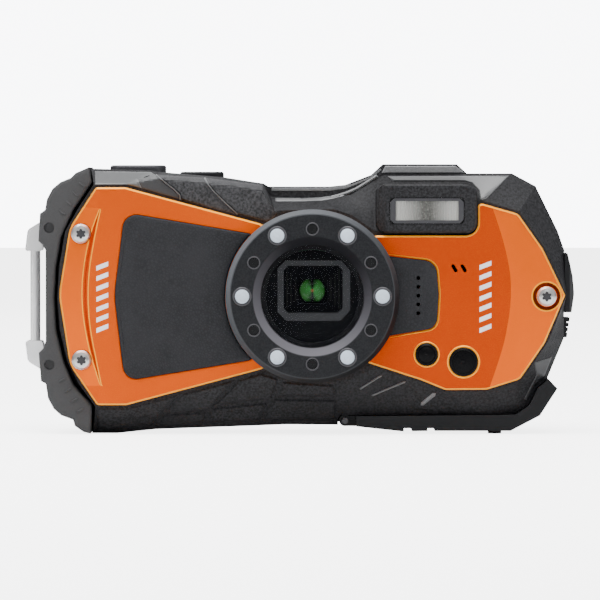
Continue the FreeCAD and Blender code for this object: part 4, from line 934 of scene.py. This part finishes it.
def side_bumper():
    """Side bumper, a little thicker than its core and rounded at both faces."""
    loops = flat_loops("side_bumper", BUMPER_FRONT, -1)
    outer = loops[0]

    def falling(x, z):
        edge = clamp(loop_distance(x, z, outer) / BUMPER_ROUND)
        return BUMPER_ROUND * (1 - math.sqrt(1 - (1 - edge) ** 2))

    def front(x, z):
        return BUMPER_FRONT - BUMPER_SWELL + falling(x, z)

    def back(x, z):
        return BUMPER_BACK - falling(x, z)

    rings = [looped(offset_loop(outer, inset)) for inset in BUMPER_INSETS]
    region = triangulated(outer, loops[1:], rings, BUMPER_SPACING)
    return closed_sheet("side_bumper_skin", region, front, back, BUMPER_SHARP_ANGLE)


def bumper_ribs():
    """Short ribs across the bumper's two rounded corners."""
    ribs = []
    surface = steady(BUMPER_FRONT - BUMPER_SWELL)
    for a, b in RIB_PATHS:
        length, ux, uz = heading(a, b)
        for number in range(RIBS):
            along = length * number / (RIBS - 1)
            x, z = a[0] + ux * along, a[1] + uz * along
            across, up = -uz * RIB_HALF_LENGTH, ux * RIB_HALF_LENGTH
            outline = stretch_out((x + across, z + up), (x - across, z - up), RIB_WIDTH)
            ribs.append(relief(outline, surface, steady(RIB_HEIGHT), RIB_HEIGHT, RIB_SPACING))
    return merged("bumper_ribs", ribs)


# ---- turned details

TURNED_SHARP_ANGLE = 40.0


def lathe(name, profile, centres, steps=40):
    """Rings turned from one closed profile of (radius, y), one at each centre (x, z)."""
    vertices = []
    faces = []
    count = len(profile)
    for cx, cz in centres:
        first = len(vertices)
        for step in range(steps):
            angle = 2 * math.pi * step / steps
            for radius, y in profile:
                vertices.append(place(cx + radius * math.cos(angle), y, cz + radius * math.sin(angle)))
        for step in range(steps):
            here = first + step * count
            there = first + (step + 1) % steps * count
            for i in range(count):
                j = (i + 1) % count
                faces.append((here + i, here + j, there + j, there + i))
    mesh = bpy.data.meshes.new(name)
    mesh.from_pydata(vertices, [], faces)
    return finished(name, mesh, TURNED_SHARP_ANGLE)


RING_FRONT = -17.0
ROUND_THE_RING = 6
LIGHTS_R = 15.9
SMALL_SCREWS_R = 15.3
LIGHT_RIM = [(1.55, 0.2), (1.55, -0.04), (1.7, -0.1), (2.0, -0.13), (2.16, -0.02), (2.16, 0.2)]
SCREW_RIM = [(1.2, 0.5), (1.2, -0.04), (1.28, -0.09), (1.4, -0.09), (1.5, -0.02), (1.5, 0.5)]
PLATE_SCREWS = [(-52.6, 45.75), (-52.5, 17.0), RIGHT_SCREW]
# Profile of the dark discs in the screw sockets, which paint their shade.
SOCKET_SHADE_DISC = [(0.01, -11.9), (0.01, -12.5), (1.2, -12.5), (1.2, -11.9)]


def around(radius, first_angle):
    """Places (x, z) evenly spaced round the lens axis."""
    angles = [math.radians(first_angle + 360 / ROUND_THE_RING * index) for index in range(ROUND_THE_RING)]
    return [(radius * math.cos(angle), LENS_Z + radius * math.sin(angle)) for angle in angles]


def ring_rims():
    """Raised rims round the lights and the small screws of the lens ring."""
    rims = []
    for profile, radius, first_angle in ((LIGHT_RIM, LIGHTS_R, 0), (SCREW_RIM, SMALL_SCREWS_R, 30)):
        rim = [(r, RING_FRONT + rise) for r, rise in profile]
        rims.append(lathe("rims", rim, around(radius, first_angle)))
    return merged("ring_rims", rims)


def socket_shade_discs():
    """Dark discs at the floors of the star sockets in the three plate screws: painted shade."""
    return lathe("socket_shade_discs", SOCKET_SHADE_DISC, PLATE_SCREWS)


# ---- lens mask

MASK_FRONT = -13.5
FRAME_HALF_THICKNESS = 0.1
FRAME_SPACING = 1.0
FRAME_OUTER = [(-7.9, 28.0), (-7.9, 37.9), (-6.1, 39.7), (6.6, 39.7), (8.6, 37.4), (8.6, 28.4), (6.4, 26.0),
               (-5.9, 26.0)]
FRAME_INNER = [(-6.5, 28.9), (-6.5, 37.4), (-5.5, 38.5), (5.9, 38.5), (6.9, 37.4), (6.9, 28.9), (5.9, 27.8),
               (-5.5, 27.8)]
WELL_X = 0.2
WELL_Z = (28.6, 37.7)
WELL_HALF_WIDTH = 5.9
STEP_GAPS = [0.0, 0.9, 1.9]
STEP_HALF_WIDTH = 0.22
STEP_FRONT = -11.15
STEP_SINK = 0.02
STEP_THICKNESS = 0.2


def rectangle(x0, x1, z0, z1):
    return [(x0, z0), (x1, z0), (x1, z1), (x0, z1)]


def mask_frame():
    """Matt frame on the mask round the lens well."""
    region = triangulated(FRAME_OUTER[::-1], [FRAME_INNER], [], FRAME_SPACING)
    front = steady(MASK_FRONT - FRAME_HALF_THICKNESS)
    return closed_sheet("mask_frame", region, front, steady(MASK_FRONT + FRAME_HALF_THICKNESS))


def well_steps():
    """Thin steps down the two sides of the lens well."""
    steps = []
    for number, gap in enumerate(STEP_GAPS):
        for side in (-1, 1):
            x = WELL_X + side * (WELL_HALF_WIDTH - gap)
            y = STEP_FRONT - STEP_SINK * number
            outline = rectangle(x - STEP_HALF_WIDTH, x + STEP_HALF_WIDTH, WELL_Z[0] + gap, WELL_Z[1] - gap)
            region = triangulated(outline, [], [], COARSE)
            steps.append(closed_sheet("well_step", region, steady(y), steady(y + STEP_THICKNESS)))
    return merged("well_steps", steps)


# ---- flash pane

FLASH_PANE = (18.9, 33.2, 48.8, 53.2)
FLASH_PANE_FRONT = -12.55
FLASH_PANE_DEPTH = 0.3
FLASH_RIM = [(18.6, 48.1), (33.5, 48.1), (34.4, 49.0), (34.4, 52.9), (33.5, 53.8), (18.6, 53.8), (17.7, 52.9),
             (17.7, 49.0)]
FLASH_RIM_HEIGHT = 0.08
RIB_PITCH = 0.6
FLASH_RIB_DEPTH = 0.14
FLASH_RIB_SHARP_ANGLE = 10.0
FLASH_SPACING = 3.0


def flash_pane():
    """Ribbed pane of the flash and the satin rim round it."""
    x0, x1, z0, z1 = FLASH_PANE
    half_ribs = int((x1 - x0) / RIB_PITCH * 2)
    lines = []
    for index in range(1, half_ribs):
        x = x0 + (x1 - x0) * index / half_ribs
        lines.append([(x, z0), (x, z1)])

    def ribbed(x, z):
        phase = (x - x0) / (x1 - x0) * half_ribs
        return FLASH_PANE_FRONT + FLASH_RIB_DEPTH * abs(math.cos(phase * math.pi / 2))

    back = steady(FLASH_PANE_FRONT + FLASH_PANE_DEPTH)
    opening = rectangle(*FLASH_PANE)
    ribs = triangulated(opening, [], lines, FLASH_SPACING)
    pane = closed_sheet("flash_pane", ribs, ribbed, back, FLASH_RIB_SHARP_ANGLE)
    border = triangulated(FLASH_RIM, [opening[::-1]], [], COARSE)
    rim = closed_sheet("flash_rim", border, steady(FLASH_PANE_FRONT - FLASH_RIM_HEIGHT), back)
    return pane, rim


# ---- printed marks

KEY_TOP = 12.5
MARK_HEIGHT = 0.05
MENU_BAR = 0.4
MARKS = {
    "key_up": ("ink", [[(-28.1, 33.6), (-25.9, 33.6), (-27.0, 35.0)]]),
    "key_down": ("ink", [[(-28.1, 21.4), (-27.0, 20.0), (-25.9, 21.4)]]),
    "key_left": ("ink", [[(-20.9, 28.6), (-20.9, 26.4), (-19.5, 27.5)]]),
    "key_right": ("ink", [[(-33.1, 28.6), (-34.5, 27.5), (-33.1, 26.4)]]),
    "playback": ("ink", [[(-18.4, 51.7), (-18.4, 49.3), (-20.1, 50.5)]]),
    "movie": ("red_ink", [circle(-12.5, 43.5, 1.1, 24)]),
    "menu": ("ink", [rectangle(-16.7, -14.3, z, z + MENU_BAR) for z in (10.4, 11.3, 12.2)]),
}
STROKES = 7
STROKE_FIELDS = [(-49.1, -46.4, 23.2, 39.7), (38.0, 40.7, 23.2, 39.9)]
STROKE_SLANT = 0.45
STROKE_HEIGHT = 0.03
STROKE_SINK = 0.2


def key_mark(body):
    """Printed mark on the top of one key."""
    low, high = steady(KEY_TOP - MARK_HEIGHT), steady(KEY_TOP + MARK_HEIGHT)
    regions = [triangulated(anticlockwise(outline), [], [], COARSE) for outline in MARKS[body][1]]
    return merged(f"mark_{body}", [closed_sheet("mark", region, low, high) for region in regions])


def plate_strokes():
    """Two plain columns of slanted strokes printed on the face plate."""
    strokes = []
    front = steady(PLATE_FRONT - STROKE_HEIGHT)
    back = steady(PLATE_FRONT + STROKE_SINK)
    for x0, x1, z0, z1 in STROKE_FIELDS:
        pitch = (z1 - z0) / STROKES
        slant = pitch * STROKE_SLANT
        for number in range(STROKES):
            z = z0 + pitch * number
            outline = [(x0, z), (x1, z + slant), (x1, z + 2 * slant), (x0, z + slant)]
            strokes.append(closed_sheet("stroke", triangulated(outline, [], [], COARSE), front, back))
    return merged("plate_strokes", strokes)


# ---- shutter spring


def shutter_coil():
    """The shutter button's return spring, a steel copy of its CAD node on the case, standing in for it."""
    coil = in_scene("shutter_coil", NODES["shutter_spring"].data.copy())
    shown_surface(coil)
    add(coil, "case", "steel", "steel", "shutter_spring")
    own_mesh(coil)


# ---- stage and camera

VIEW_WIDTH = 136.4
VIEW_CENTRE = (-2.8, 30.7)
LENS_MM = 260.0
SENSOR_MM = 36.0
CAMERA_ELEVATION = 1.5
CLIP_START = 0.01
CEILING_START = 0.8
WALL_GLOW = 0.07
CEILING_GLOW = 0.9
BACKDROP_GLOW = 9.0
FLOOR_GLOW = 4.0
FLOOR_REACH = 3.0
SKY_COLOUR = (0.96, 0.97, 1.0)
MIDDLE_Z = 30.0
LAMPS = {
    "overhead": ((-0.08, -0.16, 0.6), (0.7, 0.4), 7.5),
    "left": ((-0.75, -0.35, 0.35), (0.3, 0.6), 2.2),
    "right": ((0.75, -0.3, 0.3), (0.3, 0.6), 1.4),
    "rear": ((-0.3, 0.7, 0.5), (0.6, 0.4), 2.5),
}


def aimed(name, data, where, target):
    """Lamp or camera at one place, turned towards another."""
    thing = in_scene(name, data)
    thing.location = where
    thing.rotation_euler = (target - Vector(where)).to_track_quat("-Z", "Y").to_euler()
    return thing


def camera():
    data = bpy.data.cameras.new("front")
    data.lens = LENS_MM
    data.sensor_width = SENSOR_MM
    data.clip_start = CLIP_START
    distance = VIEW_WIDTH * MM * LENS_MM / SENSOR_MM
    target = place(VIEW_CENTRE[0], PLATE_FRONT, VIEW_CENTRE[1])
    rise = math.radians(CAMERA_ELEVATION)
    where = target + distance * Vector((0, -math.cos(rise), math.sin(rise)))
    bpy.context.scene.camera = aimed("front", data, where, target)


def lamps():
    """Soft studio lamps aimed at the middle of the case."""
    for name, (where, size, watts) in LAMPS.items():
        data = bpy.data.lights.new(name, "AREA")
        data.shape = "RECTANGLE"
        data.size, data.size_y = size
        data.energy = watts
        aimed(name, data, where, place(0.0, 0.0, MIDDLE_Z))


def sky():
    """Studio surroundings: bright ceiling, dimmer walls, plain pale backdrop for the camera."""
    world = bpy.data.worlds.new("studio")
    world.use_nodes = True
    background = world.node_tree.nodes["Background"]
    it = Nodes(world.node_tree)
    up = it.axes(it.node("TexCoord", {}).outputs["Generated"])["Z"]
    glow = it.spread(up, 0.0, CEILING_START, WALL_GLOW, CEILING_GLOW)
    seen = it.node("Mix", {0: it.camera_ray(), 2: glow, 3: BACKDROP_GLOW})
    it.wire(background.inputs["Strength"], seen.outputs[0])
    it.wire(background.inputs["Color"], SKY_COLOUR)
    bpy.context.scene.world = world


def ground():
    """Plain pale floor, which looks brighter to the camera than the light it gives back."""
    mesh = bpy.data.meshes.new("floor")
    corners = [(x, y, -SEAT * MM) for x, y in rectangle(-FLOOR_REACH, FLOOR_REACH, -FLOOR_REACH, FLOOR_REACH)]
    mesh.from_pydata(corners, [], [(0, 1, 2, 3)])
    floor = in_scene("floor", mesh)
    it = Surface("pale_floor")
    it.paint(it.blend(it.noise(80.0, 2.0), (0.90, 0.90, 0.905), (0.93, 0.93, 0.93)), 0.75, 0.1)
    it.set("Emission Color", (1.0, 1.0, 1.0))
    it.set("Emission Strength", it.maths("MULTIPLY", it.camera_ray(), FLOOR_GLOW))
    floor.data.materials.append(it.material)


# ---- everything in its finish

ORANGE = (0.74, 0.088, 0.0)
# A darker copy of the orange: painted shade in the groove and over the right half.
ORANGE_IN_PAINTED_SHADE = (0.56, 0.05, 0.0)
# A lighter copy of the orange: painted light on the facets that bend back.
ORANGE_LIT = (0.88, 0.125, 0.0)
ORANGE_SHADE = (0.12, 0.012, 0.0)
# A pale copy of the orange: a painted highlight on the plate's edges and rims.
EDGE_HIGHLIGHT_COLOUR = (1.0, 0.36, 0.015)
ORANGE_FLAKE = (1.0, 0.22, 0.0)
SHELL = (0.0145, 0.0145, 0.016)
FLASH_X = 26.05
FRONT_LENS_Z = 32.8

FINISHES = {
    "orange": painted_metal("orange_metal", ORANGE, ORANGE_FLAKE),
    # Copies of the orange as painted shade, painted light, a painted highlight and deeper painted shade.
    "orange_painted_shade": painted_metal("orange_inboard_painted_shade", ORANGE_IN_PAINTED_SHADE, ORANGE_FLAKE),
    "orange_lit": painted_metal("orange_facet_painted_light", ORANGE_LIT, (1.0, 0.2, 0.0)),
    "orange_painted_highlight": painted_metal("orange_painted_highlight", EDGE_HIGHLIGHT_COLOUR, (1.0, 0.5, 0.08), 0.3, 0.3),
    "orange_shade": painted_metal("orange_shade", ORANGE_SHADE, ORANGE_SHADE),
    "shell": plastic("shell_black", SHELL, 0.55, 0.5, 0.14, 0.8, 0.2),
    # Satin shell plastic: smoother, and paler as painted light on lit top slopes.
    "satin": plastic("shell_satin_painted_light", (0.085, 0.087, 0.088), 0.36, 0.25, 0.012, 0.15, 0.6),
    "grain": plastic("shell_grain", (0.028, 0.028, 0.03), 0.5, 0.5, 0.16, 0.9, 0.3),
    # Dim shell plastic: a little paler than the shell, as painted light.
    "dim_painted_light": plastic("shell_dim_painted_light", (0.035, 0.036, 0.038), 0.42, 0.25, 0.012, 0.2, 0.4),
    # Pale shell plastic as painted highlights on lit edges, ridges and strips.
    "shell_highlight": plastic("shell_painted_highlight", (0.14, 0.142, 0.145), 0.4, 0.25, 0.012, 0.2, 0.5),
    "smooth": plastic("key_plastic", (0.0075, 0.008, 0.009), 0.45, 0.2, 0.01, 0.2, 0.2),
    "bumper": plastic("bumper_grey", (0.046, 0.046, 0.047), 0.65, 0.22, 0.016, 0.12, 0.2),
    "pad": leather("pad_leather", (0.022, 0.0225, 0.025)),
    "ring": ring_finish("ring_black"),
    "gloss": plastic("black_gloss", (0.002, 0.002, 0.0026), 0.6, 0.3, 0.002, 0.1, 0.05),
    "frame": plastic("mask_frame", (0.030, 0.031, 0.033), 0.6, 0.4, 0.004, 0.1, 0.1),
    "step": plastic("well_step", (0.005, 0.005, 0.0045), 0.6, 0.4, 0.004, 0.1, 0.1),
    "steel": bare_metal("steel", (0.62, 0.61, 0.59), 0.28),
    "dark_steel": bare_metal("dark_steel", (0.05, 0.05, 0.055), 0.4, marks=0.2, metallic=0.4),
    "polished": bare_metal("polished_steel", (0.92, 0.92, 0.92), 0.16, (1.0, 12.0, 1.0), 0.12, 0.55),
    "clear": clear("clear_glass", (0.02, 0.025, 0.035), 0.03),
    "flash_glass": clear("flash_glass", (0.25, 0.25, 0.25), 0.06),
    "ribs": flash_ribs_finish("flash_ribs", FLASH_X),
    "lens": lens_with_painted_reflection("lens_glass", FRONT_LENS_Z),
    "dark_glass": gloss("dark_glass", (0.003, 0.003, 0.004), 0.06, 0.1, 0.01),
    "window": plastic("window_black", (0.003, 0.003, 0.0035), 0.3, 0.3, 0.001, 0.1, 0.08),
    "frosted": plastic("frosted", (0.50, 0.58, 0.66), 0.4, 0.5, 0.01, 0.05, 0.2),
    "reflector": bare_metal("reflector", (0.9, 0.9, 0.9), 0.15, (14.0, 1.0, 1.0), 0.05),
    "silicone": plastic("silicone", (0.06, 0.06, 0.065), 0.7, 0.3, 0.01, 0.1, 0.1),
    "button": bare_metal("button_metal", (0.05, 0.05, 0.055), 0.4, (12.0, 1.0, 1.0), 0.1, 0.6),
    "inner": plastic("inner_plastic", (0.02, 0.02, 0.022), 0.6, 0.4, 0.02, 0.2),
    "board": plastic("board_green", (0.012, 0.09, 0.035), 0.4, 0.6, 0.01, 0.3),
    "battery": plastic("battery_wrap", (0.05, 0.07, 0.12), 0.35, 0.8, 0.004, 0.08),
    "card": plastic("card_blue", (0.02, 0.07, 0.25), 0.45, 0.6, 0.004, 0.1),
    "sleeve": plastic("capacitor_sleeve", (0.02, 0.03, 0.09), 0.35, 0.6, 0.003, 0.1),
    "print": plastic("white_print", (0.85, 0.85, 0.85), 0.5, 0.3, 0.002, 0.04),
    "ink": plastic("key_marks", (0.5, 0.5, 0.5), 0.5, 0.3, 0.002, 0.04),
    "red_ink": plastic("record_mark", (0.5, 0.02, 0.015), 0.5, 0.3, 0.002, 0.04),
}

NODE_FINISH = {
    "shell": "front_shell rear_shell flash_housing",
    "smooth": "battery_door terminal_cover terminal_lock power_button zoom_rocker",
    "bumper": "door_lock bumper_pins",
    "pad": "speaker_panel",
    "ring": "lens_ring",
    "gloss": "ring_base lens_mask optics_housing",
    "clear": "lens_window",
    "lens": "front_lens",
    "window": "prism assist_lamp_window receiver_window",
    "flash_glass": "flash_window",
    "dark_glass": "lcd_window",
    "frosted": "led_windows flash_tube",
    "reflector": "flash_reflector",
    "button": "shutter_button",
    "sleeve": "flash_capacitor",
    "battery": "battery",
    "card": "memory_card",
    "board": "main_board image_sensor",
    "silicone": "shell_gasket door_gasket",
    "steel": "tripod_socket",
    "dark_steel": "hinge_pins",
}
STEEL_WORDS = ("screws", "pins", "rods", "screw", "spring")
BEVEL = 0.08
BEVELS = {"front_shell": 0.16, "rear_shell": 0.22, "battery_door": 0.25, "terminal_cover": 0.3,
          "lens_ring": 0.12, "flash_housing": 0.12, "speaker_panel": 0.12, "lens_mask": 0.12,
          "strap_lugs": 0.3, "plate_screws": 0.06, "zoom_rocker": 0.2, "door_lock": 0.15,
          "terminal_lock": 0.15}
BEVEL_SEGMENTS = 2
BEVEL_ANGLE = 30.0
SHARP_ANGLE = 26.0


def finish_for(node):
    """Name of the finish that a CAD node shows."""
    for finish, nodes in NODE_FINISH.items():
        if node in nodes.split():
            return finish
    if node.startswith("strap"):
        return "polished"
    if node.startswith(("ring_screw", "nav")) or "button" in node:
        return "smooth"
    return "steel" if any(word in node for word in STEEL_WORDS) else "inner"


def shown_surface(obj):
    """Smooth-shades a CAD node up to its real edges."""
    obj.data.set_sharp_from_angle(angle=math.radians(SHARP_ANGLE))
    for polygon in obj.data.polygons:
        polygon.use_smooth = True


def add(piece, body, finish=None, slot=None, stands_for=None):
    """Puts a finished piece on its body with its finish, and hides the CAD node it stands for. The slot is
    not used.
    """
    if finish is not None:
        dress(piece, FINISHES[finish])
    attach(piece, body)
    if stands_for is not None:
        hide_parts(stands_for)


add(face_plate(), "case", None, "orange_metal", "face_plate")
add(grip_pad(), "case", "pad", "pad_leather", "grip_pad")
add(side_bumper(), "case", "bumper", "bumper_grey", "side_bumper")
add(bumper_ribs(), "case", "bumper", "bumper_grey")
for piece, finish in shell_relief():
    add(piece, "case", finish, "shell_black")
add(ring_rims(), "case", "dark_steel", "ring_black")
add(mask_frame(), "case", "frame", "black_gloss")
add(well_steps(), "case", "step", "black_gloss")
add(socket_shade_discs(), "case", "dark_steel", "steel")
pane, pane_rim = flash_pane()
add(pane, "case", "ribs", "clear_glass")
add(pane_rim, "case", "dark_steel", "clear_glass")
add(plate_strokes(), "case", "print", "orange_metal")
for body, (finish, outlines) in MARKS.items():
    add(key_mark(body), body, finish, "key_plastic")
shutter_coil()

for name, node in NODES.items():
    if name not in ("face_plate", "grip_pad", "side_bumper", "shutter_spring"):
        dress(node, FINISHES[finish_for(name)])
        shown_surface(node)
        soften(node, BEVELS.get(name, BEVEL))

sky()
ground()
lamps()
camera()
